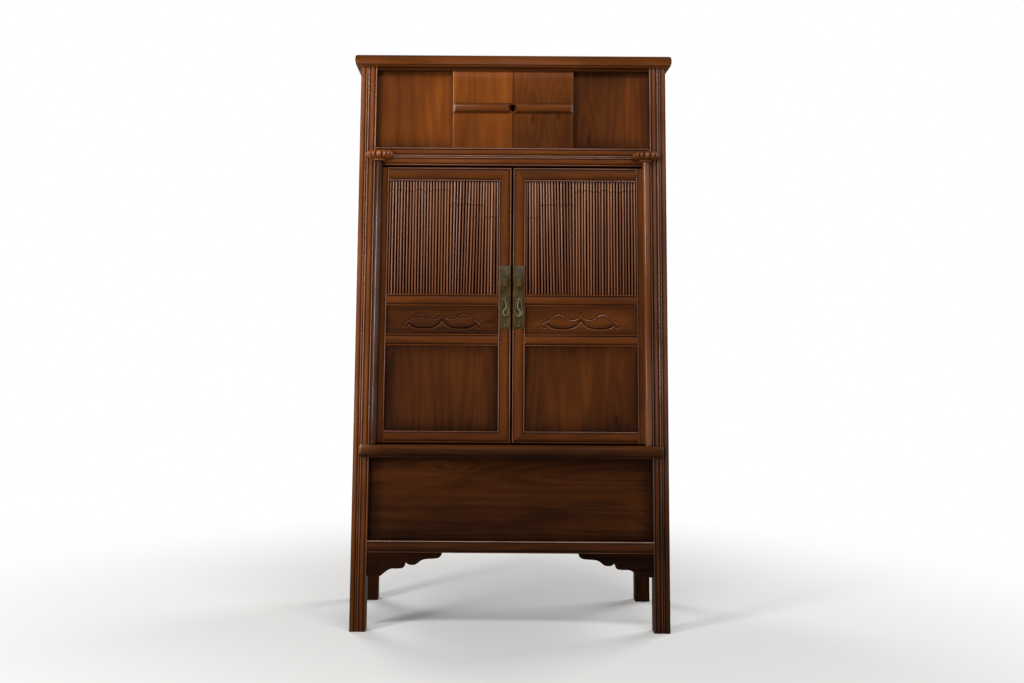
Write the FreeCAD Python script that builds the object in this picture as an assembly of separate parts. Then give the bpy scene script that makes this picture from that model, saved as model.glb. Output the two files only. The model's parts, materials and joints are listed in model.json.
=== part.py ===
"""Tall tapered cabinet: pivot doors of bamboo slats, sliding upper panels, and a well below the sill.

Millimetres. X runs to the right, the front faces -Y, Z is up. The origin is on the floor, in the middle.
Paired pieces are modelled on the right and mirrored to the left.
"""
import FreeCAD
import Part
import math
import os

V = FreeCAD.Vector
UP = V(0, 0, 1)
ALONG_X = V(1, 0, 0)

# Height, width, depth and lean of the carcass
HEIGHT = 1850.0           # over the top board
WIDTH = 1033.0            # over the outer faces of the feet
LEAN = 29.0               # how far each post leans in between its foot and its top
DEPTH = 500.0             # over the front and rear faces of the posts
BACK_OVERHANG = 8.0       # top board past the rear posts
FRONT_OVERHANG = 14.0     # top board past the front posts
SIDE_OVERHANG = 20.0      # top board past the post tops
CAPITAL_REACH = 38.0      # capital past the front posts, the foremost piece

# Heights of the front, stacked up from the floor; the slats take what the others leave
LEG_CLEAR = 255.0
BOTTOM_RAIL_H = 39.0
WELL_H = 268.0
SILL_H = 41.0
DOOR_FOOT_GAP = 6.0
DOOR_BOTTOM_RAIL_H = 38.0
LOWER_PANEL_H = 274.0
DOOR_MID_RAIL_H = 38.0
CARVED_PANEL_H = 90.0
DOOR_TOP_RAIL_H = 43.0
DOOR_HEAD_GAP = 7.0
MID_RAIL_H = 57.0
UPPER_H = 248.0
HEAD_RAIL_H = 11.0
TOP_BOARD_H = 34.0

# Posts and their reeded faces
POST_W = 52.0
POST_D = 50.0
REED_SHARES = (5.0, 13.0, 5.0, 4.0, 13.5)   # reeds from the inner edge outwards, as shares of the face
REED_GROOVE_W = 2.0
REED_H = 3.0
POST_TENON_W = 26.0
POST_TENON_H = 14.0

# Rails, tenons and panel grooves
RAIL_D = 44.0
RAIL_CROWN = 4.0          # how far a rail's face bulges
TENON_L = 25.0
TENON_T = 12.0
TENON_SET = 16.0          # tenon behind the front plane
SHOULDER = 10.0
GROOVE = 8.0
HEAD_RAIL_SET = 2.0
HEAD_RAIL_D = 40.0
HEAD_RAIL_LET = 12.0      # head rail let into the top board
TOP_CORNER_R = 12.0
TOP_EDGE_R = 9.0
TOP_FOOT_R = 5.0

# Side and back frames
SIDE_RAIL_SET = 4.0
SIDE_RAIL_T = 30.0
SIDE_TENON_L = 20.0
TOP_RAIL_H = 46.0
FRAME_PANEL_SET = 12.0    # side and back panels behind the outer face of the posts
FRAME_PANEL_T = 10.0

# Sill with horns that lap over the posts
SILL_SHORTER = 66.0       # sill shorter than the width over the feet
SILL_REACH = 34.0
SILL_D = 44.0
SILL_NOSE_H = 31.0
SILL_STEP = 6.0
SILL_END_R = 8.0
HORN_LET = 3.0

# Well panel and brackets
WELL_PANEL_SET = 14.0
WELL_PANEL_T = 12.0
BRACKET_SET = 6.0
BRACKET_T = 18.0
BRACKET_LET = 6.0
BRACKET_W = 241.0
BRACKET_DROP = 77.0
# Scallops of the bracket's edge, as shares of its width and drop
BRACKET_OUTER_SHARES = ((1.0, 0.0), (0.93, 0.25), (0.75, 0.31), (0.65, 0.51), (0.55, 0.52),
                        (0.52, 0.44))
BRACKET_INNER_SHARES = ((0.52, 0.44), (0.49, 0.66), (0.31, 0.71), (0.22, 0.86), (0.19, 1.0))

# Upper panels: sliders in tracks, fixed panels behind them
SLIDER_W = 193.0
SLIDER_T = 12.0
SLIDER_SET = 4.0
SLIDER_MEET_GAP = 0.6
SLIDER_BEVEL_H = 22.0
SLIDER_BEVEL_D = 4.0
TRACK_DEPTH = 5.0
TRACK_TOP_DEPTH = 9.0     # deep enough to lift a slider out of its lower track
TRACK_ENGAGE = 3.5
TRACK_CLEAR = 0.4
FIXED_PANEL_SET = 20.0
FIXED_PANEL_T = 10.0
FIXED_PANEL_LAP = 20.0
BATTEN_H = 31.0
BATTEN_PROUD = 13.0
BATTEN_INSET = 5.0
BATTEN_END_RUN = 9.0
BATTEN_RISE = 5.0         # batten above the middle of its panel
FINGER_HOLE_R = 9.0       # hole where the two sliding panels meet

# Floors and shelf
BOARD_T = 14.0
FLOOR_DROP = 12.0
SHELF_RISE = 440.0
SHELF_CLEAR = 0.6
BEARER_W = 22.0
BEARER_H = 26.0

# Pivot columns, pins and capitals
COLUMN_R = 12.0
COLUMN_POST_GAP = 1.0
COLUMN_FORWARD = 2.0      # column axis in front of the post faces
COLUMN_END_GAP = 0.6
COLUMN_CLEAR = 0.6        # round the column where it passes the foot of the mid rail
PIN_R = 8.0
PIN_L = 18.0
PIN_CLEAR = 0.08
PIN_END_GAP = 0.5
CAPITAL_W = 92.0
CAPITAL_RISE = 13.0       # capital above the foot of the mid rail
CAPITAL_NECK_H = 7.0
CAPITAL_BODY_H = 26.0
CAPITAL_TAPER = 5.0
CAPITAL_NECK_INSET = 9.0
CAPITAL_LET = 4.0
CAPITAL_STUB_L = 12.0
CAPITAL_STUB_WALL = 4.0
PETAL_W = 14.5            # about; a whole number of petals fills each side
PETAL_BULGE = 3.0

# Doors
DOOR_GAP = 6.0
DOOR_SET = 1.0
DOOR_T = 26.0
DOOR_CROWN = 3.0
HINGE_STILE_SHOW = 20.0   # hinge stile beside the column
HINGE_STILE_BACK = 6.0    # hinge stile behind the column, past its axis
MEETING_STILE_W = 40.0
DOOR_INFILL_SET = 8.0
DOOR_PANEL_T = 10.0
DOOR_TENON_L = 15.0
DOOR_SHOULDER = 7.0
SLAT_PITCH = 9.4
SLAT_W = 6.6
SLAT_T = 5.0
SLAT_BACK_T = 2.0

# Brass fittings
PLATE_W = 36.0
PLATE_H = 203.0
PLATE_T = 2.0
PLATE_RISE = 17.0         # plate above the lower middle rail
PLATE_EDGE = 1.0          # plate back from the meeting edge
NAIL_HEAD_R = 4.0
NAIL_HEAD_H = 2.4
NAIL_R = 1.5
NAIL_L = 12.0
NAIL_EDGE = 10.0
STAPLE_DROP = 41.0        # staple below the top of the plate
STAPLE_W = 14.0
STAPLE_H = 29.0
STAPLE_REACH = 21.0
STAPLE_BAR = 6.0
STAPLE_TANG = 10.0
EYE_DROP = 38.0           # eye below the staple
EYE_R = 4.0
EYE_REACH = 10.0
EYE_HOLE_OUT = 6.0
EYE_TANG_R = 2.0
EYE_TANG_L = 12.0
PULL_WIRE_R = 1.7
PULL_WIRE_CLEAR = 0.08
PULL_SIDE_GAP = 0.6
PULL_CORNER_R = 3.0
PULL_BELLY_R = 12.0
PULL_DROP = 41.0          # from the eye's hole to the middle of the belly
PULL_BEAD_R = 4.0

# Planes and levels that follow from the sizes above
FRONT = CAPITAL_REACH - (DEPTH + BACK_OVERHANG + CAPITAL_REACH) / 2
REAR = FRONT + DEPTH
BOTTOM_RAIL_Z = LEG_CLEAR
WELL_Z = BOTTOM_RAIL_Z + BOTTOM_RAIL_H
SILL_Z = WELL_Z + WELL_H
SILL_TOP = SILL_Z + SILL_H
DOOR_Z = SILL_TOP + DOOR_FOOT_GAP
LOWER_PANEL_Z = DOOR_Z + DOOR_BOTTOM_RAIL_H
LOWER_MID_Z = LOWER_PANEL_Z + LOWER_PANEL_H
CARVED_PANEL_Z = LOWER_MID_Z + DOOR_MID_RAIL_H
UPPER_MID_Z = CARVED_PANEL_Z + CARVED_PANEL_H
SLAT_Z = UPPER_MID_Z + DOOR_MID_RAIL_H
POST_TOP = HEIGHT - TOP_BOARD_H
HEAD_RAIL_Z = POST_TOP - HEAD_RAIL_H
UPPER_Z = HEAD_RAIL_Z - UPPER_H
MID_RAIL_Z = UPPER_Z - MID_RAIL_H
DOOR_TOP = MID_RAIL_Z - DOOR_HEAD_GAP
DOOR_TOP_RAIL_Z = DOOR_TOP - DOOR_TOP_RAIL_H
SILL_LENGTH = WIDTH - SILL_SHORTER
SLOPE = LEAN / POST_TOP
AXIS = V(-SLOPE, 0, 1)
COLUMN_Y = FRONT - COLUMN_FORWARD
CAPITAL_Z = MID_RAIL_Z + CAPITAL_RISE
CAPITAL_TOP = CAPITAL_Z + CAPITAL_NECK_H + CAPITAL_BODY_H
PETAL_COUNT_FRONT = round((CAPITAL_W - 2 * PETAL_BULGE) / PETAL_W)
PETAL_COUNT_SIDE = round((CAPITAL_REACH + CAPITAL_LET - PETAL_BULGE) / PETAL_W)
COLUMN_Z = SILL_TOP + COLUMN_END_GAP
COLUMN_TOP = CAPITAL_Z - COLUMN_END_GAP
DOOR_FRONT = FRONT + DOOR_SET
DOOR_BACK = DOOR_FRONT + DOOR_T
INFILL_FRONT = DOOR_FRONT + DOOR_INFILL_SET
INFILL_BACK = INFILL_FRONT + DOOR_PANEL_T
MEET_OUT = DOOR_GAP / 2
MEET_IN = MEET_OUT + MEETING_STILE_W
SLIDER_FRONT = FRONT + SLIDER_SET
SLIDER_BACK = SLIDER_FRONT + SLIDER_T
PLATE_FRONT = DOOR_FRONT - PLATE_T
PLATE_X = MEET_OUT + PLATE_EDGE
PLATE_MID = PLATE_X + PLATE_W / 2
PLATE_Z = CARVED_PANEL_Z + PLATE_RISE
STAPLE_Z = PLATE_Z + PLATE_H - STAPLE_DROP - STAPLE_H
EYE_Z = STAPLE_Z - EYE_DROP
EYE_Y = PLATE_FRONT - EYE_HOLE_OUT
SHELF_Z = SILL_TOP + SHELF_RISE
FRAME_PANEL_BACK = FRAME_PANEL_SET + FRAME_PANEL_T
BACK_PANEL_BACK = REAR - FRAME_PANEL_SET
BACK_PANEL_FRONT = BACK_PANEL_BACK - FRAME_PANEL_T
TOP_RAIL_Z = POST_TOP - TOP_RAIL_H
FRAME_LEVELS = ((BOTTOM_RAIL_Z, WELL_Z), (SILL_Z, SILL_TOP), (MID_RAIL_Z, UPPER_Z),
                (TOP_RAIL_Z, POST_TOP))
FRAME_BAYS = ((WELL_Z, SILL_Z), (SILL_TOP, MID_RAIL_Z), (UPPER_Z, TOP_RAIL_Z))
BATTEN_Z = UPPER_Z + UPPER_H / 2 + BATTEN_RISE
PAST = 100.0              # how far a cutting solid runs past the piece it cuts
NEAR = 0.01               # places closer than this are the same
PARALLEL = 0.9            # share of an edge's direction that makes it run along an axis


def outer_x(z):
    """Outer face of the right-hand posts at height z."""
    return WIDTH / 2 - SLOPE * z


def inner_x(z):
    """Inner face of the right-hand posts at height z."""
    return outer_x(z) - POST_W


def column_x(z):
    """Axis of the right-hand pivot column at height z."""
    return inner_x(z) - COLUMN_POST_GAP - COLUMN_R


def hinge_in(z):
    """Inner edge of the right-hand door's hinge stile at height z."""
    return column_x(z) - COLUMN_R - HINGE_STILE_SHOW


def mirrored(shape):
    """The same piece on the left of the cabinet."""
    return shape.mirror(V(0, 0, 0), V(1, 0, 0))


def box(x0, x1, y0, y1, z0, z1):
    """Upright block between two corners."""
    return Part.makeBox(x1 - x0, y1 - y0, z1 - z0, V(x0, y0, z0))


def prism(points, y0, y1):
    """Block whose outline in X and Z is given, from y0 to y1."""
    corners = [V(x, y0, z) for x, z in points]
    return Part.Face(Part.makePolygon(corners + corners[:1])).extrude(V(0, y1 - y0, 0))


def leaning(z0, z1, left, right):
    """Outline from z0 to z1 between two edges, each a function of height."""
    return [(left(z0), z0), (right(z0), z0), (right(z1), z1), (left(z1), z1)]


def across(z0, z1, reach=0.0):
    """Outline between the two leaning posts, run on by reach at both ends."""
    return leaning(z0, z1, lambda z: -inner_x(z) - reach, lambda z: inner_x(z) + reach)


def side_strip(z0, z1, near, far):
    """Outline of a strip that leans with the side, from near to far inside the posts' outer face."""
    return leaning(z0, z1, lambda z: outer_x(z) - far, lambda z: outer_x(z) - near)


def crowned_bar(z0, z1, y_crest, y_back, crown):
    """Long bar along X whose front face bulges by crown."""
    half = WIDTH
    y_edge = y_crest + crown
    arc = Part.Arc(V(-half, y_edge, z0), V(-half, y_crest, (z0 + z1) / 2), V(-half, y_edge, z1))
    edges = [arc.toShape()]
    corners = [V(-half, y_edge, z1), V(-half, y_back, z1), V(-half, y_back, z0), V(-half, y_edge, z0)]
    edges += [Part.makeLine(a, b) for a, b in zip(corners, corners[1:])]
    return Part.Face(Part.Wire(edges)).extrude(V(2 * half, 0, 0))


def front_rail(z0, z1):
    """Crowned rail between the front posts, with a tenon into each."""
    bar = crowned_bar(z0, z1, FRONT, FRONT + RAIL_D, RAIL_CROWN)
    rail = bar.common(prism(across(z0, z1), FRONT - PAST, FRONT + PAST))
    return rail.fuse(rail_tenons(z0, z1)).removeSplitter()


def rail_tenons(z0, z1):
    """Flat bar through a front rail that stands out as its two tenons."""
    outline = across(z0 + SHOULDER, z1 - SHOULDER, TENON_L)
    return prism(outline, FRONT + TENON_SET, FRONT + TENON_SET + TENON_T)


def cut_all(shape, tools):
    """The shape with every tool taken out of it."""
    for tool in tools:
        shape = shape.cut(tool)
    return shape


def post_tenon(y0):
    """Tenon on top of a right-hand post whose front face is at y0."""
    middle = outer_x(POST_TOP) - POST_W / 2
    half = POST_TENON_W / 2
    y_middle = y0 + POST_D / 2
    top = POST_TOP + POST_TENON_H
    return box(middle - half, middle + half, y_middle - half, y_middle + half, POST_TOP, top)


def front_post():
    """Right front post: a reeded face, carried up along the lean."""
    reeds = POST_W - REED_GROOVE_W * (len(REED_SHARES) - 1)
    floor = FRONT + REED_H
    edges = []
    x = inner_x(0)
    for index, share in enumerate(REED_SHARES):
        if index:
            edges.append(Part.makeLine(V(x, floor, 0), V(x + REED_GROOVE_W, floor, 0)))
            x += REED_GROOVE_W
        width = reeds * share / sum(REED_SHARES)
        height = min(REED_H, width / 2)
        arc = Part.Arc(V(x, floor, 0), V(x + width / 2, floor - height, 0), V(x + width, floor, 0))
        edges.append(arc.toShape())
        x += width
    back = FRONT + POST_D
    corners = [V(x, floor, 0), V(x, back, 0), V(inner_x(0), back, 0), V(inner_x(0), floor, 0)]
    edges += [Part.makeLine(a, b) for a, b in zip(corners, corners[1:])]
    shaft = Part.Face(Part.Wire(edges)).extrude(AXIS * POST_TOP)
    return shaft.fuse(post_tenon(FRONT)).removeSplitter()


def rear_post():
    """Right rear post, plain."""
    shaft = prism(leaning(0, POST_TOP, inner_x, outer_x), REAR - POST_D, REAR)
    return shaft.fuse(post_tenon(REAR - POST_D)).removeSplitter()


def top_board():
    """Top board with rounded corners and edges."""
    half = outer_x(POST_TOP) + SIDE_OVERHANG
    board = box(-half, half, FRONT - FRONT_OVERHANG, REAR + BACK_OVERHANG, POST_TOP, POST_TOP + TOP_BOARD_H)
    upright = [e for e in board.Edges if runs_along(e, UP)]
    board = board.makeFillet(TOP_CORNER_R, upright)
    rims = {POST_TOP + TOP_BOARD_H: TOP_EDGE_R, POST_TOP: TOP_FOOT_R}
    for level, radius in rims.items():
        rim = [e for e in board.Edges if all(abs(v.Point.z - level) < NEAR for v in e.Vertexes)]
        board = board.makeFillet(radius, rim)
    return board


def head_rail():
    """Head rail, let into the top board."""
    top = POST_TOP + HEAD_RAIL_LET
    return prism(across(HEAD_RAIL_Z, top), FRONT + HEAD_RAIL_SET, FRONT + HEAD_RAIL_D)


def slider_track(z0, z1, y0, y1):
    """Groove in which the sliding panels run, from post to post."""
    return prism(across(z0, z1), y0 - TRACK_CLEAR, y1 + TRACK_CLEAR)


def sill():
    """Door sill: a bullnose bar whose horns lap over the posts, with tenons between them."""
    half = SILL_LENGTH / 2
    nose_y = FRONT - SILL_REACH
    nose_z = SILL_TOP - SILL_NOSE_H
    nose_back = nose_y + SILL_NOSE_H / 2
    nose_mid = SILL_TOP - SILL_NOSE_H / 2
    arc = Part.Arc(V(-half, nose_back, nose_z), V(-half, nose_y, nose_mid), V(-half, nose_back, SILL_TOP))
    step_back = nose_back + SILL_STEP
    back = FRONT + SILL_D
    corners = [V(-half, nose_back, SILL_TOP), V(-half, back, SILL_TOP), V(-half, back, SILL_Z),
               V(-half, step_back, SILL_Z), V(-half, step_back, nose_z), V(-half, nose_back, nose_z)]
    edges = [arc.toShape()] + [Part.makeLine(a, b) for a, b in zip(corners, corners[1:])]
    bar = Part.Face(Part.Wire(edges)).extrude(V(SILL_LENGTH, 0, 0))
    plan = box(-half, half, nose_y, back, SILL_Z, SILL_TOP)
    horn_ends = [e for e in plan.Edges if runs_along(e, UP) and e.CenterOfMass.y < FRONT]
    bar = bar.common(plan.makeFillet(SILL_END_R, horn_ends))
    outline = leaning(0, POST_TOP, inner_x, lambda z: outer_x(z) + PAST)
    post = prism(outline, FRONT + HORN_LET, FRONT + PAST)
    bar = bar.cut(post).cut(mirrored(post))
    return bar.fuse(rail_tenons(SILL_Z, SILL_TOP)).removeSplitter()


def side_rails():
    """The four rails of the right side, tenoned between the front and rear posts."""
    y0, y1 = FRONT + POST_D, REAR - POST_D
    rails = []
    for z0, z1 in FRAME_LEVELS:
        rail = prism(side_strip(z0, z1, SIDE_RAIL_SET, SIDE_RAIL_SET + SIDE_RAIL_T), y0, y1)
        strip = side_strip(z0 + SHOULDER, z1 - SHOULDER, FRAME_PANEL_SET, FRAME_PANEL_BACK)
        rails.append(rail.fuse(prism(strip, y0 - SIDE_TENON_L, y1 + SIDE_TENON_L)).removeSplitter())
    return rails


def side_panels():
    """The three panels of the right side, held in grooves all round."""
    y0, y1 = FRONT + POST_D - GROOVE, REAR - POST_D + GROOVE
    panels = []
    for z0, z1 in FRAME_BAYS:
        strip = side_strip(z0 - GROOVE, z1 + GROOVE, FRAME_PANEL_SET, FRAME_PANEL_BACK)
        panels.append(prism(strip, y0, y1))
    return panels


def rear_rails():
    """The four rails of the back, tenoned between the rear posts."""
    y1 = REAR - SIDE_RAIL_SET
    rails = []
    for z0, z1 in FRAME_LEVELS:
        rail = prism(across(z0, z1), y1 - SIDE_RAIL_T, y1)
        tenons = prism(across(z0 + SHOULDER, z1 - SHOULDER, TENON_L), BACK_PANEL_FRONT, BACK_PANEL_BACK)
        rails.append(rail.fuse(tenons).removeSplitter())
    return rails


def back_panels():
    """The three panels of the back, held in grooves all round."""
    return [prism(across(z0 - GROOVE, z1 + GROOVE, GROOVE), BACK_PANEL_FRONT, BACK_PANEL_BACK)
            for z0, z1 in FRAME_BAYS]


def well_panel():
    """Panel between the bottom rail and the sill."""
    y0 = FRONT + WELL_PANEL_SET
    return prism(across(WELL_Z - GROOVE, SILL_Z + GROOVE, GROOVE), y0, y0 + WELL_PANEL_T)


def bracket():
    """Right bracket under the bottom rail, with a scalloped edge that rises to a cusp."""
    y0 = FRONT + BRACKET_SET

    def place(run, drop):
        z = BOTTOM_RAIL_Z - drop
        return V(inner_x(z) - run, y0, z)

    curves = []
    for scallop in (BRACKET_OUTER_SHARES, BRACKET_INNER_SHARES):
        curve = Part.BSplineCurve()
        curve.interpolate([place(run * BRACKET_W, drop * BRACKET_DROP) for run, drop in scallop])
        curves.append(curve)
    heel_run = BRACKET_OUTER_SHARES[0][0] * BRACKET_W
    toe_drop = BRACKET_INNER_SHARES[-1][1] * BRACKET_DROP
    heel, toe = curves[0].StartPoint, curves[-1].EndPoint
    corners = [toe, place(-BRACKET_LET, toe_drop), place(-BRACKET_LET, -BRACKET_LET),
               place(heel_run, -BRACKET_LET), heel]
    edges = [curve.toShape() for curve in curves]
    edges += [Part.makeLine(a, b) for a, b in zip(corners, corners[1:])]
    return Part.Face(Part.Wire(edges)).extrude(V(0, BRACKET_T, 0))


def fixed_panel():
    """Right fixed upper panel, behind the track of the sliding panels."""
    y0 = FRONT + FIXED_PANEL_SET
    outline = leaning(UPPER_Z - GROOVE, HEAD_RAIL_Z + GROOVE, lambda z: SLIDER_W - FIXED_PANEL_LAP,
                      lambda z: inner_x(z) + GROOVE)
    return prism(outline, y0, y0 + FIXED_PANEL_T)


def sliding_panel():
    """Right sliding panel, bevelled at the top to a tongue that runs in the head rail."""
    z0 = UPPER_Z - TRACK_DEPTH
    z1 = HEAD_RAIL_Z + TRACK_ENGAGE
    tongue_y = SLIDER_FRONT + SLIDER_BEVEL_D
    x0 = SLIDER_MEET_GAP / 2
    section = [(SLIDER_FRONT, z0), (SLIDER_BACK, z0), (SLIDER_BACK, z1), (tongue_y, z1),
               (tongue_y, HEAD_RAIL_Z), (SLIDER_FRONT, HEAD_RAIL_Z - SLIDER_BEVEL_H)]
    corners = [V(x0, y, z) for y, z in section]
    panel = Part.Face(Part.makePolygon(corners + corners[:1])).extrude(V(SLIDER_W - x0, 0, 0))
    return panel.cut(finger_hole())


def finger_hole():
    """Round hole shared by the two sliding panels, through them and through the ends of their battens."""
    start = V(0, SLIDER_FRONT - PAST, BATTEN_Z)
    return Part.makeCylinder(FINGER_HOLE_R, 2 * PAST, start, V(0, 1, 0))


def batten():
    """Half-round batten on the right sliding panel, its ends sloped back and the inner one scooped."""
    x0 = BATTEN_INSET
    z0, z1 = BATTEN_Z - BATTEN_H / 2, BATTEN_Z + BATTEN_H / 2
    y0 = SLIDER_FRONT - BATTEN_PROUD
    arc = Part.Arc(V(x0, SLIDER_FRONT, z0), V(x0, y0, BATTEN_Z), V(x0, SLIDER_FRONT, z1))
    face = Part.Face(Part.Wire([arc.toShape(), Part.makeLine(arc.EndPoint, arc.StartPoint)]))
    bar = face.extrude(V(SLIDER_W - x0, 0, 0))
    plan = [(x0, SLIDER_FRONT), (SLIDER_W, SLIDER_FRONT), (SLIDER_W - BATTEN_END_RUN, y0),
            (x0 + BATTEN_END_RUN, y0)]
    corners = [V(x, y, z0) for x, y in plan]
    block = Part.Face(Part.makePolygon(corners + corners[:1])).extrude(V(0, 0, BATTEN_H))
    return bar.common(block).cut(finger_hole())


def floor_board(top):
    """Floor let into the rails all round and notched round the posts."""
    def edge(z):
        return outer_x(z) - SIDE_RAIL_SET - SIDE_RAIL_T + GROOVE

    back = REAR - SIDE_RAIL_SET - SIDE_RAIL_T + GROOVE
    board = prism(leaning(top - BOARD_T, top, lambda z: -edge(z), edge), FRONT + RAIL_D - GROOVE, back)
    posts = [front_post(), rear_post()]
    return cut_all(board, posts + [mirrored(post) for post in posts])


def shelf():
    """Loose shelf that lies on its bearers, between the front and rear posts."""
    def edge(z):
        return outer_x(z) - FRAME_PANEL_BACK - SHELF_CLEAR

    outline = leaning(SHELF_Z, SHELF_Z + BOARD_T, lambda z: -edge(z), edge)
    return prism(outline, FRONT + POST_D + SHELF_CLEAR, REAR - POST_D - SHELF_CLEAR)


def shelf_bearer():
    """Right shelf bearer, on the inside of the side panel."""
    outline = side_strip(SHELF_Z - BEARER_H, SHELF_Z, FRAME_PANEL_BACK, FRAME_PANEL_BACK + BEARER_W)
    return prism(outline, FRONT + POST_D, REAR - POST_D)


def column_shaft(clear=0.0):
    """Round shaft of the right pivot column, along the lean, or the room round it."""
    start = V(column_x(COLUMN_Z), COLUMN_Y, COLUMN_Z)
    length = (COLUMN_TOP + 2 * clear - COLUMN_Z) * AXIS.Length
    return Part.makeCylinder(COLUMN_R + clear, length, start, AXIS)


def pivot_pins(radius, extra_start, extra_end):
    """Cylinders on the column's axis at both ends, run on past the column's end and the pin's tip."""
    along = AXIS / AXIS.Length
    foot = V(column_x(COLUMN_Z), COLUMN_Y, COLUMN_Z) + along * extra_start
    head = V(column_x(COLUMN_TOP), COLUMN_Y, COLUMN_TOP) - along * extra_start
    length = PIN_L + extra_start + extra_end
    ends = ((foot, -along), (head, along))
    return [Part.makeCylinder(radius, length, start, heading) for start, heading in ends]


def pivot_column():
    """Right pivot column: the shaft with a pin at each end."""
    shaft = column_shaft()
    for pin in pivot_pins(PIN_R, 0.0, 0.0):
        shaft = shaft.fuse(pin)
    return shaft.removeSplitter()


def pivot_bores():
    """Bores for the lower and the upper pin of the right column."""
    return pivot_pins(PIN_R + PIN_CLEAR, COLUMN_END_GAP * 2, PIN_END_GAP)


def petal_outline(z, inset):
    """Plan of the right capital at height z: a row of petals on the front and on each side."""
    middle = column_x((CAPITAL_Z + CAPITAL_TOP) / 2)
    half = CAPITAL_W / 2 - PETAL_BULGE - inset
    front = FRONT - CAPITAL_REACH + PETAL_BULGE + inset
    back = FRONT + CAPITAL_LET
    rows = [(V(middle - half, back, z), V(middle - half, front, z), PETAL_COUNT_SIDE),
            (V(middle - half, front, z), V(middle + half, front, z), PETAL_COUNT_FRONT),
            (V(middle + half, front, z), V(middle + half, back, z), PETAL_COUNT_SIDE)]
    edges = []
    for start, end, count in rows:
        step = (end - start) / count
        out = V(step.y, -step.x, 0).normalize() * PETAL_BULGE
        for index in range(count):
            a, b = start + step * index, start + step * (index + 1)
            edges.append(Part.Arc(a, (a + b) / 2 + out, b).toShape())
    edges.append(Part.makeLine(rows[-1][1], rows[0][0]))
    return Part.Wire(edges)


def capital_blank():
    """Right capital before boring: petals that spread over a neck, with a stub into the mid rail."""
    middle = column_x((CAPITAL_Z + CAPITAL_TOP) / 2)
    body_z = CAPITAL_Z + CAPITAL_NECK_H
    outlines = [petal_outline(body_z, CAPITAL_TAPER), petal_outline(CAPITAL_TOP, 0.0)]
    body = Part.makeLoft(outlines, True, True)
    half = CAPITAL_W / 2 - CAPITAL_NECK_INSET
    back = FRONT + CAPITAL_LET
    front = FRONT - CAPITAL_REACH + CAPITAL_NECK_INSET
    neck = box(middle - half, middle + half, front, back, CAPITAL_Z, body_z)
    front_edges = [e for e in neck.Edges if runs_along(e, UP) and e.CenterOfMass.y < FRONT]
    neck = neck.makeFillet(CAPITAL_NECK_H, front_edges)
    stub_half = PIN_R + CAPITAL_STUB_WALL
    stub = box(middle - stub_half, middle + stub_half, back, back + CAPITAL_STUB_L, CAPITAL_Z, CAPITAL_TOP)
    return body.fuse(neck).fuse(stub).removeSplitter()


def door_rail(z0, z1, outline, meeting_reach):
    """Crowned rail of the right door, cut to its outline, with tenons into its stiles."""
    bar = crowned_bar(z0, z1, DOOR_FRONT, DOOR_BACK, DOOR_CROWN)
    rail = bar.common(prism(outline, DOOR_FRONT - PAST, DOOR_BACK + PAST))
    tenons = leaning(z0 + DOOR_SHOULDER, z1 - DOOR_SHOULDER, lambda z: MEET_IN - meeting_reach,
                     lambda z: hinge_in(z) + DOOR_TENON_L)
    return rail.fuse(prism(tenons, INFILL_FRONT, INFILL_BACK)).removeSplitter()


def door_mid_rail(z0):
    """Middle rail of the right door, square at both ends."""
    z1 = z0 + DOOR_MID_RAIL_H
    return door_rail(z0, z1, leaning(z0, z1, lambda z: MEET_IN, hinge_in), DOOR_TENON_L)


def door_top_rail():
    """Top rail of the right door, mitred to the meeting stile."""
    z0, z1 = DOOR_TOP_RAIL_Z, DOOR_TOP
    outline = [(MEET_IN, z0), (hinge_in(z0), z0), (hinge_in(z1), z1), (MEET_OUT, z1)]
    return door_rail(z0, z1, outline, 0.0)


def door_bottom_rail():
    """Bottom rail of the right door, mitred to the meeting stile."""
    z0, z1 = DOOR_Z, LOWER_PANEL_Z
    outline = [(MEET_OUT, z0), (hinge_in(z0), z0), (hinge_in(z1), z1), (MEET_IN, z1)]
    return door_rail(z0, z1, outline, 0.0)


def meeting_stile():
    """Meeting stile of the right door, mitred at both ends."""
    outline = [(MEET_OUT, DOOR_Z), (MEET_IN, LOWER_PANEL_Z), (MEET_IN, DOOR_TOP_RAIL_Z),
               (MEET_OUT, DOOR_TOP)]
    return prism(outline, DOOR_FRONT, DOOR_BACK)


def hinge_stile():
    """Hinge stile of the right door, hollowed to receive the column."""
    outline = leaning(DOOR_Z, DOOR_TOP, hinge_in, lambda z: column_x(z) + HINGE_STILE_BACK)
    return prism(outline, DOOR_FRONT, DOOR_BACK).cut(column_shaft())


def door_panel(z0, height):
    """Panel of the right door, held in grooves all round."""
    outline = leaning(z0 - GROOVE, z0 + height + GROOVE, lambda z: MEET_IN - GROOVE,
                      lambda z: hinge_in(z) + GROOVE)
    return prism(outline, INFILL_FRONT, INFILL_BACK)


def slat_slot():
    """Space that the slats' ends fill in the rails above and below, closed just past the outer slats."""
    end = (SLAT_PITCH - SLAT_W) / 4
    outline = leaning(SLAT_Z - GROOVE, DOOR_TOP_RAIL_Z + GROOVE, lambda z: MEET_IN + end,
                      lambda z: hinge_in(z) - end)
    return prism(outline, INFILL_FRONT, INFILL_FRONT + SLAT_T)


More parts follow.
